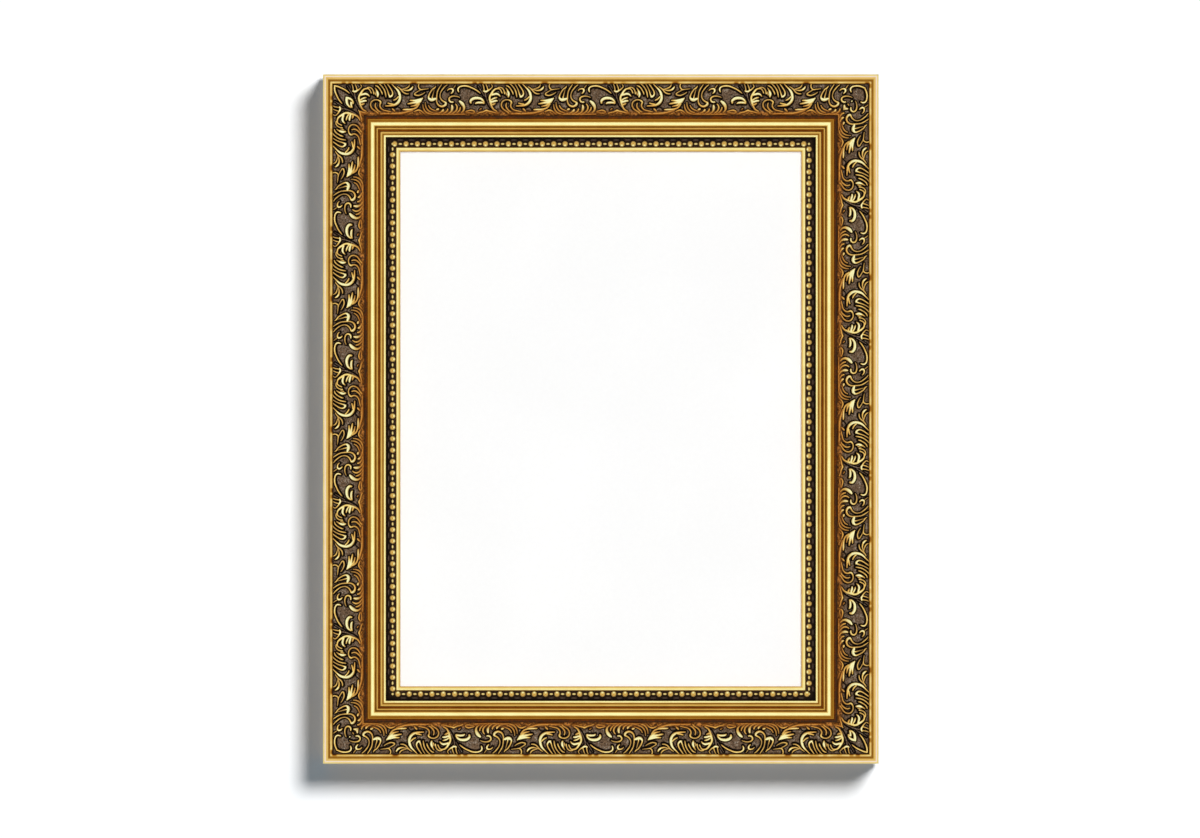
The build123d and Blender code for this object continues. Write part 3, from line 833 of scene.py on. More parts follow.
palmette = [
    ([(92.4, 12.2, .55), (93.4, 12.6, .75), (94.6, 12.6, .75), (95.8, 11.9, .58), (97.0, 11.2, .5),
      (98.4, 9.9, .44), (99.0, 8.8, .44), (98.2, 7.4, .38)], (.9, 1.0, .9, .6, .45, .4)),
    ([(91.8, 7.1, .34), (92.5, 8.8, .42), (92.8, 10.4, .42), (93.0, 11.8, .48)], (.4, .5, .8)),
    ([(94.2, 7.2, .34), (94.9, 8.8, .42), (95.4, 10.2, .42), (95.6, 11.4, .48)], (.4, .55, .8)),
]
reliefStrokes = (combScroll + plumeFan + horseshoe + sprig + outlinedLeaves + handLeaf + lowLeaves + fringe
                 + calyx + hook + spiral + archedLeaf + stems + palmette)


def partWay(values, share):  # a value part of the way through a list
    place = share * (len(values) - 1)
    before = min(int(place), len(values) - 2)
    return values[before] + (values[before + 1] - values[before]) * (place - before)


def strokeMesh():
    points = []
    edges = []
    girths = []
    shines = []
    for stroke, rubbing in reliefStrokes:
        for number, (along, inwards, girth) in enumerate(stroke):
            if number:
                edges.append((len(points) - 1, len(points)))
            share = number / (len(stroke) - 1)
            taper = relief["endGirth"] + (1 - relief["endGirth"]) * math.sin(math.pi * share)
            points.append((along * mm, inwards * mm, 0.0))
            girths.append(girth * mm * taper)
            shines.append(partWay(rubbing, share))
    return pointMesh("strokes", points, edges, {"girth": girths, "shine": shines})


def circleThrough(first, second, third):  # centre and radius
    (ax, ay), (bx, by), (cx, cy) = first, second, third
    twice = 2 * (ax * (by - cy) + bx * (cy - ay) + cx * (ay - by))
    squares = (ax * ax + ay * ay, bx * bx + by * by, cx * cx + cy * cy)
    centreX = (squares[0] * (by - cy) + squares[1] * (cy - ay) + squares[2] * (ay - by)) / twice
    centreY = (squares[0] * (cx - bx) + squares[1] * (ax - cx) + squares[2] * (bx - ax)) / twice
    return centreX, centreY, math.hypot(ax - centreX, ay - centreY)


def reliefTree():  # a strip raised wherever a stroke passes, closed underneath, its ends cut to the mitres
    graph = newTree("carvedRelief", {
        "Rail Length": "Float", "Start": "Float", "Width": "Float", "Steps Along": "Int",
        "Steps Across": "Int", "Repeat": "Float", "First": "Float", "Copies": "Int", "Stroke Step": "Float",
        "Arc Inwards": "Float", "Arc Height": "Float", "Arc Radius": "Float",
        "Bed Outer": "Float", "Bed Inner": "Float", "Sink": "Float", "Cap Height": "Float",
        "Dome Share": "Float", "Flank": "Float", "Lee": "Float", "Stipple": "Float", "Pit Scale": "Float",
        "Ground Pits": "Float", "Crest Pits": "Float", "Seed": "Float", "Face": "Material"})
    # Strokes, smoothed and repeated along the rail
    curves = graph.add("GeometryNodeMeshToCurve", {}, {"Mesh": graph.given("Geometry")})
    smooth = graph.add("GeometryNodeCurveSplineType", {"spline_type": "CATMULL_ROM"}, {"Curve": curves})
    fine = graph.add("GeometryNodeResampleCurve", {"mode": "LENGTH"},
                     {"Curve": smooth, "Length": graph.given("Stroke Step")})
    lines = graph.add("GeometryNodeCurveToMesh", {}, {"Curve": fine})
    first = graph.vector(graph.given("First"), 0.0, 0.0)
    laid = graph.rowOf(lines, graph.given("Copies"), first, graph.given("Repeat"))
    strokes = graph.add("GeometryNodeRealizeInstances", {}, {"Geometry": laid})
    # Flat strip: rows run over the face, then under it and back to the first
    stepsAcross = graph.given("Steps Across")
    sheet = graph.grid(graph.given("Steps Along") + 1, stepsAcross + 4)
    flatSpot = graph.split(graph.position(), "X")
    row = (flatSpot.also("Y") + 0.5) * (stepsAcross + 3)
    across = ((row - 1) / stepsAcross).math("MAXIMUM", 0.0).math("MINIMUM", 1.0) * (row < stepsAcross + 2.5)
    under = (row < 0.5) + (row > stepsAcross + 1.5)
    inwards = graph.given("Start") + graph.given("Width") * across
    along = inwards + (flatSpot + 0.5) * (graph.given("Rail Length") - inwards * 2)
    flat = graph.move(graph.store(sheet, {"under": under}), graph.vector(along, inwards, 0.0))
    # Distance to the nearest stroke, less that stroke's half width there
    here = graph.position()
    x = graph.split(here, "X")
    y = x.also("Y")

    def fromStroke(spot):
        near = {"Geometry": strokes, "Sample Position": spot}
        away = graph.add("GeometryNodeProximity", {"target_element": "EDGES"}, near, out="Distance")
        nearest = graph.add("GeometryNodeSampleNearest", {}, near)
        values = [away]
        for name in ("girth", "shine"):
            source = {"Geometry": strokes, "Value": graph.stored(name), "Index": nearest}
            values.append(graph.add("GeometryNodeSampleIndex", {}, source))
        return values

    distance, girth, shine = fromStroke(here)
    edge = distance - girth
    # the same, from a point shifted towards the sight edge, for the painted shadow
    shadowDistance, shadowGirth, _ = fromStroke(graph.vector(x, y - graph.given("Lee"), 0.0))
    marked = graph.store(flat, {
        "edge": edge / mm, "lee": (shadowDistance - shadowGirth) / mm, "shine": shine,
        "inwards": y / mm, "along": x / mm})
    # Heights: an arched face with the strokes and the stipple on it, over a straight bed
    fall = graph.ease(edge, 0.0, graph.given("Flank"), 1.0, 0.0)
    dome = (1 - (distance / girth) ** 2).math("MAXIMUM", 0.0).math("SQRT")
    pits = graph.noise(graph.vector(x, y, graph.given("Seed")), graph.given("Pit Scale"), 2.0, 0.6) - 0.5
    groundPits = graph.given("Ground Pits")
    pits = pits * graph.given("Stipple") * (groundPits - fall * (groundPits - graph.given("Crest Pits")))
    raised = graph.given("Cap Height") * fall + graph.given("Dome Share") * girth * dome + pits
    fromCentre = y - graph.given("Arc Inwards")
    arc = graph.given("Arc Height") + (graph.given("Arc Radius") ** 2 - fromCentre ** 2).math("SQRT")
    slope = (y - graph.given("Start")) / graph.given("Width")
    bed = graph.given("Bed Outer") + slope * (graph.given("Bed Inner") - graph.given("Bed Outer"))
    beneath = graph.stored("under")
    height = (arc - graph.given("Sink") + raised) * (1 - beneath) + bed * beneath
    carved = graph.move(marked, graph.vector(x, y, height))
    carved = graph.store(carved, {"tilt": graph.split(graph.add("GeometryNodeInputNormal"), "Y")})
    return graph.end(graph.dressed(graph.welded(carved), graph.given("Face")))


# Finish of the relief: pairs are where a look begins and is full, in millimetres from a stroke's edge or,
# for the names that end in From, inwards from the rim
reliefFinish = {
    "gold": ((0.0, (96, 64, 28)), (0.3, (160, 122, 66)), (0.52, (210, 166, 90)), (0.76, (250, 204, 104)),
             (0.92, (255, 236, 150)), (1.0, (255, 250, 188))),
    "warmGold": ((0.0, (120, 66, 22)), (0.4, (204, 130, 52)), (0.8, (248, 184, 86)),
                 (1.0, (255, 216, 124))),
    "warmGoldFrom": (18.5, 28.6),
    "warmGoldShare": 0.85,
    "base": 0.2,  # brightness of the gold, then what adds to it or takes from it
    "rubbing": 0.47,
    "heartHighlight": 0.62,
    "tiltShade": 0.32,
    "rubScale": 210.0,
    "rubSpread": 0.4,
    "swellFrom": (11.0, 24.0),  # the gold spreads a little wider towards the sight edge
    "swellWidth": 0.13,
    "swellLift": 0.06,
    "crest": (0.08, -0.2),
    "heart": (-0.05, -0.5),
    "gildedAbove": (0.02, 0.25),  # rubbing under this is a stem without gold
    "ground": (130, 104, 80),
    "groundDark": (46, 35, 26),
    "pitScale": 1100.0,
    "pitTones": (0.3, 0.68),
    "vein": (176, 162, 144),
    "veinScale": 480.0,
    "veinWidth": 0.05,
    "veinPatches": (0.4, 0.6),
    "veinShare": 0.85,
    # The near-black wash is partly patina and partly painted shade beside each stroke
    "wash": (6, 2, 1),
    "washBeside": (1.2, 0.55),
    "washShare": 0.98,
    "paintedShadowWash": (1.4, 0.7),
    "washClear": (-0.3, 0.0),  # the crest of a stem is clear of it
    "cordShadeFrom": (8.8, 7.4),  # and painted shadow fills the corner below the cord
    "cordShade": 0.75,
    "borderFrom": (25.2, 28.6),  # the lower edge of the leaves is warmer and frayed
    "borderShare": 0.9,
    "borderWash": 0.55,
    "warmGround": (236, 154, 68),
    "warmDark": (92, 52, 22),
    "frayScale": 520.0,
    "frayTones": (0.36, 0.62),
    "innerEdge": (58, 40, 27),
    "innerEdgeFrom": (29.3, 30.3),
    "innerEdgeShare": 0.65,
    "roughness": 0.66,
    "goldSmoothness": 0.34,
    "roughnessSpread": 0.12,
    "metal": 0.15,
    "goldMetal": 0.8,
    "heartMetalLoss": 0.25,
    "specular": 0.05,
    "bump": 0.0003,
    "bumpStrength": 0.4,
    "goldBumpLoss": 0.8,
}


def reliefShader(graph):
    look = reliefFinish
    lee, shine, tilt, inwards = (graph.attribute(name) for name in ("lee", "shine", "tilt", "inwards"))
    swell = graph.ease(inwards, *look["swellFrom"])
    edge = graph.attribute("edge") - swell * look["swellWidth"]
    place = graph.place()
    pitted = graph.noise(place, look["pitScale"], 3.0, 0.65)
    curly = graph.noise(place, look["veinScale"], 1.0)
    rubbed = graph.noise(place, look["rubScale"])
    cap = graph.ease(edge, *look["crest"]) * graph.ease(shine, *look["gildedAbove"])
    heart = graph.ease(edge, *look["heart"])
    # Gold of the crests, with a painted highlight along the middle of each stroke and painted shade on the
    # slopes that face the sight edge
    bright = look["base"] + shine * (look["rubbing"] + heart * look["heartHighlight"])
    bright = bright - tilt * look["tiltShade"] + swell * look["swellLift"]
    bright = bright + (rubbed - 0.5) * look["rubSpread"]
    warmGold = graph.ease(inwards, *look["warmGoldFrom"]) * look["warmGoldShare"]
    gold = graph.blend(warmGold, graph.ramp(bright, look["gold"]), graph.ramp(bright, look["warmGold"]))
    # Stippled ground with pale veins, and the frayed border
    ground = graph.blend(graph.ease(pitted, *look["pitTones"]), look["groundDark"], look["ground"])
    vein = graph.ease((curly - 0.5).math("ABSOLUTE"), look["veinWidth"], 0.0) * look["veinShare"]
    ground = graph.blend(vein * graph.ease(rubbed, *look["veinPatches"]), ground, look["vein"])
    frayed = graph.ease(graph.noise(place, look["frayScale"], 3.0, 0.7), *look["frayTones"])
    border = graph.ease(inwards, *look["borderFrom"])
    borderColour = graph.blend(frayed, look["warmDark"], look["warmGround"])
    ground = graph.blend(border * look["borderShare"], ground, borderColour)
    # Dark wash beside the strokes, partly patina and partly painted shade, deeper on their painted shadow
    # side
    wash = (graph.ease(edge, *look["washBeside"]) * look["washShare"]).math(
        "MAXIMUM", graph.ease(lee, *look["paintedShadowWash"]))
    wash = (wash * graph.ease(edge, *look["washClear"])).math(
        "MAXIMUM", graph.ease(inwards, *look["cordShadeFrom"]) * look["cordShade"])
    shaded = graph.blend(wash * (1 - border * look["borderWash"]), ground, look["wash"])
    innerEdge = graph.ease(inwards, *look["innerEdgeFrom"]) * look["innerEdgeShare"]
    colour = graph.blend(innerEdge, graph.blend(cap, shaded, gold), look["innerEdge"])
    rough = look["roughness"] - cap * look["goldSmoothness"] + (rubbed - 0.5) * look["roughnessSpread"]
    metal = cap * look["goldMetal"] - heart * look["heartMetalLoss"] + look["metal"]
    normal = graph.bump(pitted * (1 - cap * look["goldBumpLoss"]), look["bumpStrength"], look["bump"])
    return graph.surface(colour, rough, normal, {"Metallic": metal, "Specular IOR Level": look["specular"]})


giltRelief = newMaterial("gilded_relief", reliefShader)
carving = reliefTree()
reliefMiddle = (bedStart + moulding["bedWidth"] / 2,
                (relief["outerHeight"] + relief["innerHeight"]) / 2 + relief["crown"])
arcInwards, arcHeight, arcRadius = circleThrough((bedStart, relief["outerHeight"]), reliefMiddle,
                                                 (coveStart, relief["innerHeight"]))
for side, rail in rails.items():
    reach = rail["length"] / mm
    mesh = growMesh(carving, strokeMesh(), {
        "Rail Length": rail["length"],
        "Start": bedStart * mm,
        "Width": moulding["bedWidth"] * mm,
        "Steps Along": int((reach - bedStart - coveStart) / relief["cell"]),
        "Steps Across": int(moulding["bedWidth"] / relief["cell"]),
        "Repeat": patternRepeat * mm,
        "First": (rail["patternStart"] - patternRepeat) * mm,
        "Copies": int(reach / patternRepeat) + 2,
        "Stroke Step": relief["strokeStep"] * mm,
        "Arc Inwards": arcInwards * mm,
        "Arc Height": arcHeight * mm,
        "Arc Radius": arcRadius * mm,
        "Bed Outer": moulding["bedOuter"] * mm,
        "Bed Inner": moulding["bedInner"] * mm,
        "Sink": relief["sink"] * mm,
        "Cap Height": relief["capHeight"] * mm,
        "Dome Share": relief["domeShare"],
        "Flank": relief["flank"] * mm,
        "Lee": relief["lee"] * mm,
        "Stipple": relief["stipple"] * mm,
        "Pit Scale": relief["pitScale"],
        "Ground Pits": relief["groundPits"],
        "Crest Pits": relief["crestPits"],
        "Seed": relief["seed"],
        "Face": giltRelief,
    })
    finishPiece(side + "_relief", mesh, railMatrix(rail), 80, side + "_ornament")
print("relief carved")

# Bead strips: round beads with a long link between, on a dark strip
beads = {
    "inset": 5.63,
    "radius": 2.15,
    "flattening": 0.94,  # along the rail
    "depthShare": 0.72,
    "sides": (12, 6),  # round a bead and from its one pole to the other
    "pitch": 8.33,
    "endGap": 3.85,
    "tone": 0.78,
    "paintedDarkReflection": (-0.08, 0.42, 0.34),  # a painted dark reflection on each bead: place towards the sight edge, reach and depth
    "gleam": (0.42, 0.5, 0.5),  # and a painted highlight
    "linkLength": 2.9,
    "linkRadius": 0.78,
    "linkSides": (8, 6),
    "linkTone": 0.8,
    "linkGleam": 0.1,
    "cornerDot": 1.0,  # radius of the round link where two rows cross
    "scallopSize": (4.4, 0.8, 0.4),  # flat lobes between the beads, on their outer side
    "scallopInset": 2.9,
    "scallopTone": 0.08,
    # a faint pale painted sheen on the lobes
    "scallopBlush": 0.06,
    "stripThickness": 0.8,
    "stripGap": 0.2,
    # Place, tone and unevenness on the strip's top, in from its outer edge and out from its inner edge
    # the near black in from the outer edge is painted shadow beside the beads
    "outerMarks": ((0.9, 0.0, 0.1), (2.2, 0.02, 0.06)),
    "innerMarks": ((2.0, 0.05, 0.06), (0.6, 0.07, 0.06), (0.0, 0.06, 0.1)),
}


def stripOutline():
    low = moulding["channelHeight"]
    top = low + beads["stripThickness"]
    outer = channelStart + beads["stripGap"]
    inner = sightStart - beads["stripGap"]
    marks = [(outer + place, *look) for place, *look in beads["outerMarks"]]
    marks += [(inner - place, *look) for place, *look in beads["innerMarks"]]
    return [corner(outer, low, 0.0), corner(outer, top, 0.0),
            *(corner(across, top, tone, 0.0, uneven) for across, tone, uneven in marks),
            corner(inner, low, 0.0)]


def beadTree():
    graph = newTree("beadRow", {
        "Bead Line": "Float", "Strip Top": "Float", "Last Bead": "Float", "Pitch": "Float", "Count": "Int",
        "Links": "Int", "Corner Dots": "Int", "Dot Radius": "Float", "Rail Length": "Float",
        "Bead Radius": "Float", "Flattening": "Float", "Depth Share": "Float", "Link Length": "Float",
        "Link Radius": "Float", "Scallop Size": "Vector", "Scallop Inset": "Float",
        "Scallop Blush": "Float", "Face": "Material"})
    line = graph.given("Bead Line")
    pitch = graph.given("Pitch")
    last = graph.given("Last Bead")
    top = graph.given("Strip Top")
    links = graph.given("Links")
    radius = graph.given("Bead Radius")
    girth = graph.given("Link Radius") * 2

    def ball(sides, size):
        shape = {"Segments": sides[0], "Rings": sides[1], "Radius": size}
        return graph.add("GeometryNodeMeshUVSphere", {}, shape)

    def stretched(shape, scale):
        return graph.add("GeometryNodeTransform", {}, {"Geometry": shape, "Scale": scale})

    beadSize = graph.vector(graph.given("Flattening"), 1.0, graph.given("Depth Share"))
    bead = stretched(ball(beads["sides"], radius), beadSize)
    small = ball(beads["linkSides"], 0.5)
    link = stretched(small, graph.vector(graph.given("Link Length"), girth, girth))
    lobe = stretched(small, graph.given("Scallop Size"))
    dot = ball(beads["linkSides"], graph.given("Dot Radius"))
    spot = graph.split(graph.position(), "X")

    def paintedSpot(shift, reach, depth):  # a painted spot on the bead's face, shifted towards the sight edge: its dark reflection and its highlight
        aside = spot / radius
        inwards = spot.also("Y") / radius - shift
        return graph.ease((aside ** 2 + inwards ** 2).math("SQRT"), reach, 0.0) * depth

    beadTone = beads["tone"] - paintedSpot(*beads["paintedDarkReflection"]) + paintedSpot(*beads["gleam"])
    # Painted highlight: each link is brighter towards its top
    linkTone = beads["linkTone"] + graph.ease(
        spot.also("Z") / graph.given("Link Radius"), 0.2, 1.0) * beads["linkGleam"]
    between = last - pitch / 2
    crossings = graph.given("Rail Length") - line * 2
    rows = []
    for shape, tone, blush, begin, step, count, aside in (
            (bead, beadTone, 0.0, last, pitch * -1, graph.given("Count"), 0.0),
            (link, linkTone, 0.0, between, pitch * -1, links, 0.0),
            (dot, linkTone, 0.0, line, crossings, graph.given("Corner Dots"), 0.0),
            (lobe, beads["scallopTone"], graph.given("Scallop Blush"), between, pitch * -1, links,
             graph.given("Scallop Inset"))):
        toned = graph.store(shape, {"tone": tone, "blush": blush, "satin": 1.0})
        rows.append(graph.rowOf(toned, count, graph.vector(begin, line - aside, top), step))
    joined = graph.add("GeometryNodeJoinGeometry", {}, {"Geometry": [*rows, graph.given("Geometry")]})
    return graph.end(graph.dressed(joined, graph.given("Face")))


beading = beadTree()
for side, rail in rails.items():
    beadLine = mouldingWidth - beads["inset"]
    run = rail["length"] / mm - 2 * beadLine
    beadCount = int((run - beads["endGap"]) / beads["pitch"]) + 1
    level = side in ("top", "bottom")  # these two rows carry the links at the corners
    strip = sweepRail(stripOutline(), rail, gilt, gilt)
    mesh = growMesh(beading, strip, {
        "Bead Line": beadLine * mm,
        "Strip Top": (moulding["channelHeight"] + beads["stripThickness"]) * mm,
        "Last Bead": rail["length"] - (beadLine + beads["endGap"]) * mm,
        "Pitch": beads["pitch"] * mm,
        "Count": beadCount,
        "Links": beadCount - 1 if level else beadCount,
        "Corner Dots": 2 if level else 0,
        "Dot Radius": beads["cornerDot"] * mm,
        "Rail Length": rail["length"],
        "Bead Radius": beads["radius"] * mm,
        "Flattening": beads["flattening"],
        "Depth Share": beads["depthShare"],
        "Link Length": beads["linkLength"] * mm,
        "Link Radius": beads["linkRadius"] * mm,
        "Scallop Size": Vector(beads["scallopSize"]) * mm,
        "Scallop Inset": beads["scallopInset"] * mm,
        "Scallop Blush": beads["scallopBlush"],
        "Face": gilt,
    })
    finishPiece(side + "_beading", mesh, railMatrix(rail), 50, side + "_bead_strip")
print("beads laid")


# Paper: a blank sheet that cockles a little behind the glass
paper = {
    "steps": 40,
    "clearance": 0.06,
    "cockle": 0.12,
    "waves": ((9.0, 4.0), (-2.0, 7.0)),  # across and up, of the two swells
    "thicknessShare": 0.95,
    "shade": (249, 249, 249),
    "white": (254, 254, 254),
    "fibre": 420.0,
    "roughness": 0.85,
    "roughnessSpread": 0.1,
    "bump": 0.0001,
    "bumpStrength": 0.1,
}


def paperShader(graph):
    fibre = graph.noise(graph.place(), paper["fibre"], 4.0, 0.7)
    colour = graph.blend(fibre, paper["shade"], paper["white"])
    normal = graph.bump(fibre, paper["bumpStrength"], paper["bump"])
    return graph.surface(colour, paper["roughness"] + fibre * paper["roughnessSpread"], normal)


def addPaper(material):
    low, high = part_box("picture_sheet")
    width, thickness, height = high - low
    sheet = bmesh.new()
    cells = {"x_segments": paper["steps"], "y_segments": paper["steps"], "size": 0.5}
    front = bmesh.ops.create_grid(sheet, **cells)["verts"]
    rim = [tuple(edge.verts) for edge in sheet.edges if edge.is_boundary]
    back = bmesh.ops.create_grid(sheet, **cells)["verts"]
    behind = dict(zip(front, back))
    for first, second in rim:
        sheet.faces.new((first, second, behind[second], behind[first]))
    flatBack = low.y + thickness * paper["thicknessShare"]
    for vertex in front:
        across, up = vertex.co.x, vertex.co.y
        swell = math.prod(math.sin(across * level + up * upright) for level, upright in paper["waves"])
        depth = paper["clearance"] + paper["cockle"] * (0.5 + swell / 2)
        vertex.co = Vector((across * width, low.y + depth * mm, up * height))
        behind[vertex].co = Vector((across * width, flatBack, up * height))
    bmesh.ops.recalc_face_normals(sheet, faces=sheet.faces)
    mesh = bpy.data.meshes.new("paper")
    sheet.to_mesh(mesh)
    sheet.free()
    mesh.materials.append(material)
    mesh.shade_smooth()
    mesh.set_sharp_from_angle(angle=math.radians(40))
    piece = bpy.data.objects.new("blank_sheet", mesh)
    bpy.context.scene.collection.objects.link(piece)
    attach(piece, "frame")
    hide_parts("picture_sheet")


# Glass, boards, metal and rubber, on the CAD pieces themselves
glass = {"tint": (255, 255, 254), "smear": 14.0, "haze": 0.03, "bend": 1.5}


def glassShader(graph):
    haze = graph.noise(graph.place(), glass["smear"], 3.0) * glass["haze"]
    pane = graph.add("ShaderNodeBsdfPrincipled", {}, {
        "Base Color": tint(*glass["tint"]), "Roughness": haze, "IOR": glass["bend"],
        "Transmission Weight": 1.0})
    clear = graph.add("ShaderNodeBsdfTransparent")
    seen = graph.add("ShaderNodeLightPath", out="Is Camera Ray")
    return graph.add("ShaderNodeMixShader", {}, {0: seen, 1: clear, 2: pane})


boards = {
    "filler_card": {"pale": (176, 152, 122), "dark": (140, 116, 88), "fibre": 700.0,
                    "on": ["filler_board"]},
    "hardboard": {"pale": (150, 108, 70), "dark": (104, 70, 42), "fibre": 520.0,
                  "on": ["backing_board"]},
}
boardFinish = {
    "blotch": 16.0,
    "blotchShare": 0.35,
    "roughness": 0.55,
    "roughnessSpread": 0.3,
    "bump": 0.0003,
    "bumpStrength": 0.3,
}


def boardShader(graph, board):
    place = graph.place()
    fibre = graph.noise(place, board["fibre"], 5.0, 0.75)
    blotch = graph.noise(place, boardFinish["blotch"], 3.0)
    shade = fibre * (1 - boardFinish["blotchShare"]) + blotch * boardFinish["blotchShare"]
    normal = graph.bump(fibre, boardFinish["bumpStrength"], boardFinish["bump"])
    rough = boardFinish["roughness"] + fibre * boardFinish["roughnessSpread"]
    return graph.surface(graph.blend(shade, board["pale"], board["dark"]), rough, normal)


metals = {
    "screw_plate": {"bright": (206, 196, 170), "dull": (160, 144, 110), "roughness": 0.32, "tarnish": 60.0,
                    "on": ["turn_button_screws", "hanger_screws"]},
    "blued_strip": {"bright": (112, 118, 132), "dull": (70, 72, 80), "roughness": 0.4, "tarnish": 60.0,
                    "on": ["corner_v_nails"]},
    "zinc_plate": {"bright": (206, 208, 212), "dull": (160, 162, 168), "roughness": 0.34, "tarnish": 220.0,
                   "on": [f"{side}_turn_button_{number}" for side in rails for number in (1, 2)]},
    "brass_plate": {"bright": (222, 188, 110), "dull": (166, 126, 62), "roughness": 0.3, "tarnish": 60.0,
                    "on": ["left_hanger_strap", "right_hanger_strap"]},
    "brass_wire": {"bright": (228, 196, 120), "dull": (176, 138, 70), "roughness": 0.24, "tarnish": 60.0,
                   "on": ["left_hanger_ring", "right_hanger_ring"]},
}
metalFinish = {
    "tarnished": (0.35, 0.75),
    "tarnishRoughness": 0.2,
    "scuff": 1500.0,
    "scuffRoughness": 0.06,
    "bump": 0.0001,
    "bumpStrength": 0.15,
}


def metalShader(graph, metal):
    place = graph.place()
    tarnish = graph.noise(place, metal["tarnish"], 4.0, 0.6)
    scuff = graph.noise(place, metalFinish["scuff"])
    colour = graph.blend(graph.ease(tarnish, *metalFinish["tarnished"]), metal["bright"], metal["dull"])
    rough = metal["roughness"] + (tarnish - 0.5) * metalFinish["tarnishRoughness"]
    rough = rough + scuff * metalFinish["scuffRoughness"]
    normal = graph.bump(scuff, metalFinish["bumpStrength"], metalFinish["bump"])
    return graph.surface(colour, rough, normal, {"Metallic": 1.0})


rubber = {
    "dark": (34, 34, 35),
    "bloom": (58, 57, 56),
    "bloomScale": 340.0,
    "roughness": 0.6,
    "roughnessSpread": 0.2,
    "bump": 0.0002,
    "bumpStrength": 0.2,
}


def rubberShader(graph):
    bloom = graph.noise(graph.place(), rubber["bloomScale"], 3.0)
    rough = rubber["roughness"] + bloom * rubber["roughnessSpread"]
    normal = graph.bump(bloom, rubber["bumpStrength"], rubber["bump"])
    return graph.surface(graph.blend(bloom, rubber["dark"], rubber["bloom"]), rough, normal)


def finishNodes(material, nodeNames):
    for nodeName in nodeNames:
        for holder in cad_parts[nodeName].material_slots:
            holder.material = material


finishNodes(newMaterial("picture_glass", glassShader), ["glass_pane"])
finishNodes(newMaterial("bumper_rubber", rubberShader), ["wall_bumpers"])
for finishes, makeShader in ((boards, boardShader), (metals, metalShader)):
    for name, finish in finishes.items():
        finishNodes(newMaterial(name, makeShader, finish), finish["on"])
addPaper(newMaterial("blank_paper", paperShader))
print("back and glazing finished")

# Studio: a white wall that takes the drop shadow, soft light from the front, a pale room
studio = {
    "imageWidth": 0.879,  # what the picture's width spans at the rim
    "cameraDistance": 24.0,
    "cameraAside": -0.00059,
    "sensor": 36.0,
    "wallFrom": (0.50, -1.0, 0.55),
    "wallStrength": 3.45,
    "wallAngle": 21.0,
    "frontFrom": (0.04, -1.0, 0.06),
    "frontStrength": 2.75,
    "frontAngle": 18.0,
    "backFrom": (-0.5, 1.0, 0.6),
    "backStrength": 2.2,
    "backAngle": 40.0,
    "ambient": 0.14,
    "sideLevel": 0.55,  # what the gilding mirrors from the sides of the room, against 1 from the front
    "sideSpread": 0.9,
    "wallSize": 6.0,
    "wallGap": 0.0002,
    "wallGlow": 0.105,
    "nearGlow": (0.0, 0.57, 1.0, 1.0),  # evens out the warm light that the gilding throws into the shadow
    "farGlow": (0.25, 0.57, 0.85, 1.0),
    "glowReach": 0.02,
}


def addSun(name, comesFrom, strength, angle):
    light = bpy.data.lights.new(name, "SUN")
    light.energy = strength
    light.angle = math.radians(angle)
    lamp = bpy.data.objects.new(name, light)
    lamp.rotation_mode = "QUATERNION"
    lamp.rotation_quaternion = Vector(comesFrom).to_track_quat("Z", "Y")
    bpy.context.scene.collection.objects.link(lamp)
    return lamp


def wallShader(graph):
    spot = graph.split(graph.place(), "X")
    aside = spot.math("ABSOLUTE") - outerWidth / 2
    beyond = aside.math("MAXIMUM", spot.also("Z").math("ABSOLUTE") - outerHeight / 2)
    glow = graph.blend(graph.ease(beyond, 0.0, studio["glowReach"]), studio["nearGlow"], studio["farGlow"])
    face = graph.add("ShaderNodeBsdfPrincipled", {}, {
        "Base Color": (1.0, 1.0, 1.0, 1.0), "Roughness": 1.0, "Specular IOR Level": 0.0,
        "Emission Color": glow, "Emission Strength": studio["wallGlow"]})
    clear = graph.add("ShaderNodeBsdfTransparent")
    behind = graph.add("ShaderNodeNewGeometry", out="Backfacing")
    return graph.add("ShaderNodeMixShader", {}, {0: behind, 1: face, 2: clear})


def addWall():
    half = studio["wallSize"] / 2
    y = wallY + studio["wallGap"]
    corners = [(x, y, z) for x, z in ((-half, -half), (half, -half), (half, half), (-half, half))]
    mesh = bpy.data.meshes.new("wall")
    mesh.from_pydata(corners, [], [(0, 1, 2, 3)])
    mesh.materials.append(newMaterial("white_wall", wallShader))
    wall = bpy.data.objects.new("wall", mesh)
    bpy.context.scene.collection.objects.link(wall)
    wall.visible_diffuse = False
    wall.visible_glossy = False
    wall.visible_transmission = False
    wall.visible_shadow = False
    return wall


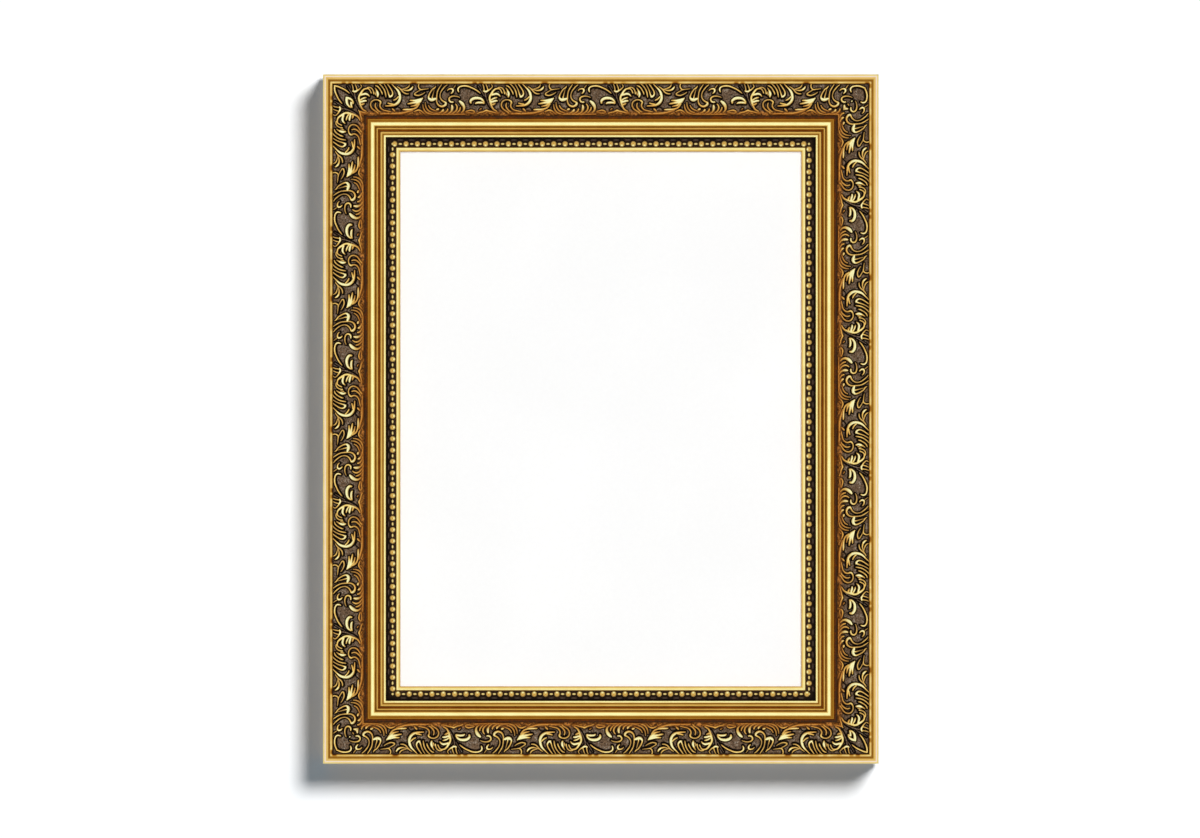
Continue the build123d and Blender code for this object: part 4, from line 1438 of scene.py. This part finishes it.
def lightOnly(lamp, receiver, included):  # let a lamp light one thing, or everything but it
    group = bpy.data.collections.new(lamp.name + "_takes")
    group.objects.link(receiver)
    group.collection_objects[0].light_linking.link_state = "INCLUDE" if included else "EXCLUDE"
    lamp.light_linking.receiver_collection = group


def lightRoom():
    world = bpy.data.worlds.new("room")
    bpy.context.scene.world = world
    world.use_nodes = True
    world.node_tree.nodes.clear()
    graph = Graph(world.node_tree)
    direction = graph.add("ShaderNodeTexCoord", out="Generated")
    depth = graph.split(direction, "Y").math("ABSOLUTE")
    reflected = graph.ease(depth, 0.0, studio["sideSpread"], studio["sideLevel"], 1.0)
    ray = graph.add("ShaderNodeLightPath", out="Is Camera Ray")
    plain = ray + ray.also("Is Transmission Ray")
    glossy = ray.also("Is Glossy Ray")
    level = plain + glossy * reflected + (1 - plain - glossy).math("MAXIMUM", 0.0) * studio["ambient"]
    room = graph.add("ShaderNodeBackground", {}, {"Color": (1.0, 1.0, 1.0, 1.0), "Strength": level})
    graph.add("ShaderNodeOutputWorld", {}, {"Surface": room})


def addCamera():
    lens = bpy.data.cameras.new("camera")
    lens.sensor_width = studio["sensor"]
    lens.lens = studio["sensor"] * studio["cameraDistance"] / studio["imageWidth"]
    camera = bpy.data.objects.new("camera", lens)
    camera.location = (studio["cameraAside"], frontY - studio["cameraDistance"], 0.0)
    camera.rotation_euler = (math.radians(90), 0.0, 0.0)
    bpy.context.scene.collection.objects.link(camera)
    bpy.context.scene.camera = camera


wall = addWall()
wallLight = addSun("wall_light", studio["wallFrom"], studio["wallStrength"], studio["wallAngle"])
frontLight = addSun("front_light", studio["frontFrom"], studio["frontStrength"], studio["frontAngle"])
backLight = addSun("back_light", studio["backFrom"], studio["backStrength"], studio["backAngle"])
lightOnly(wallLight, wall, True)
lightOnly(frontLight, wall, False)
for lamp in (frontLight, backLight):
    lamp.visible_glossy = False  # the room, not the lamps, is what the gilding mirrors
lightRoom()
addCamera()
bpy.context.scene.view_settings.view_transform = "Standard"
print("studio lit")
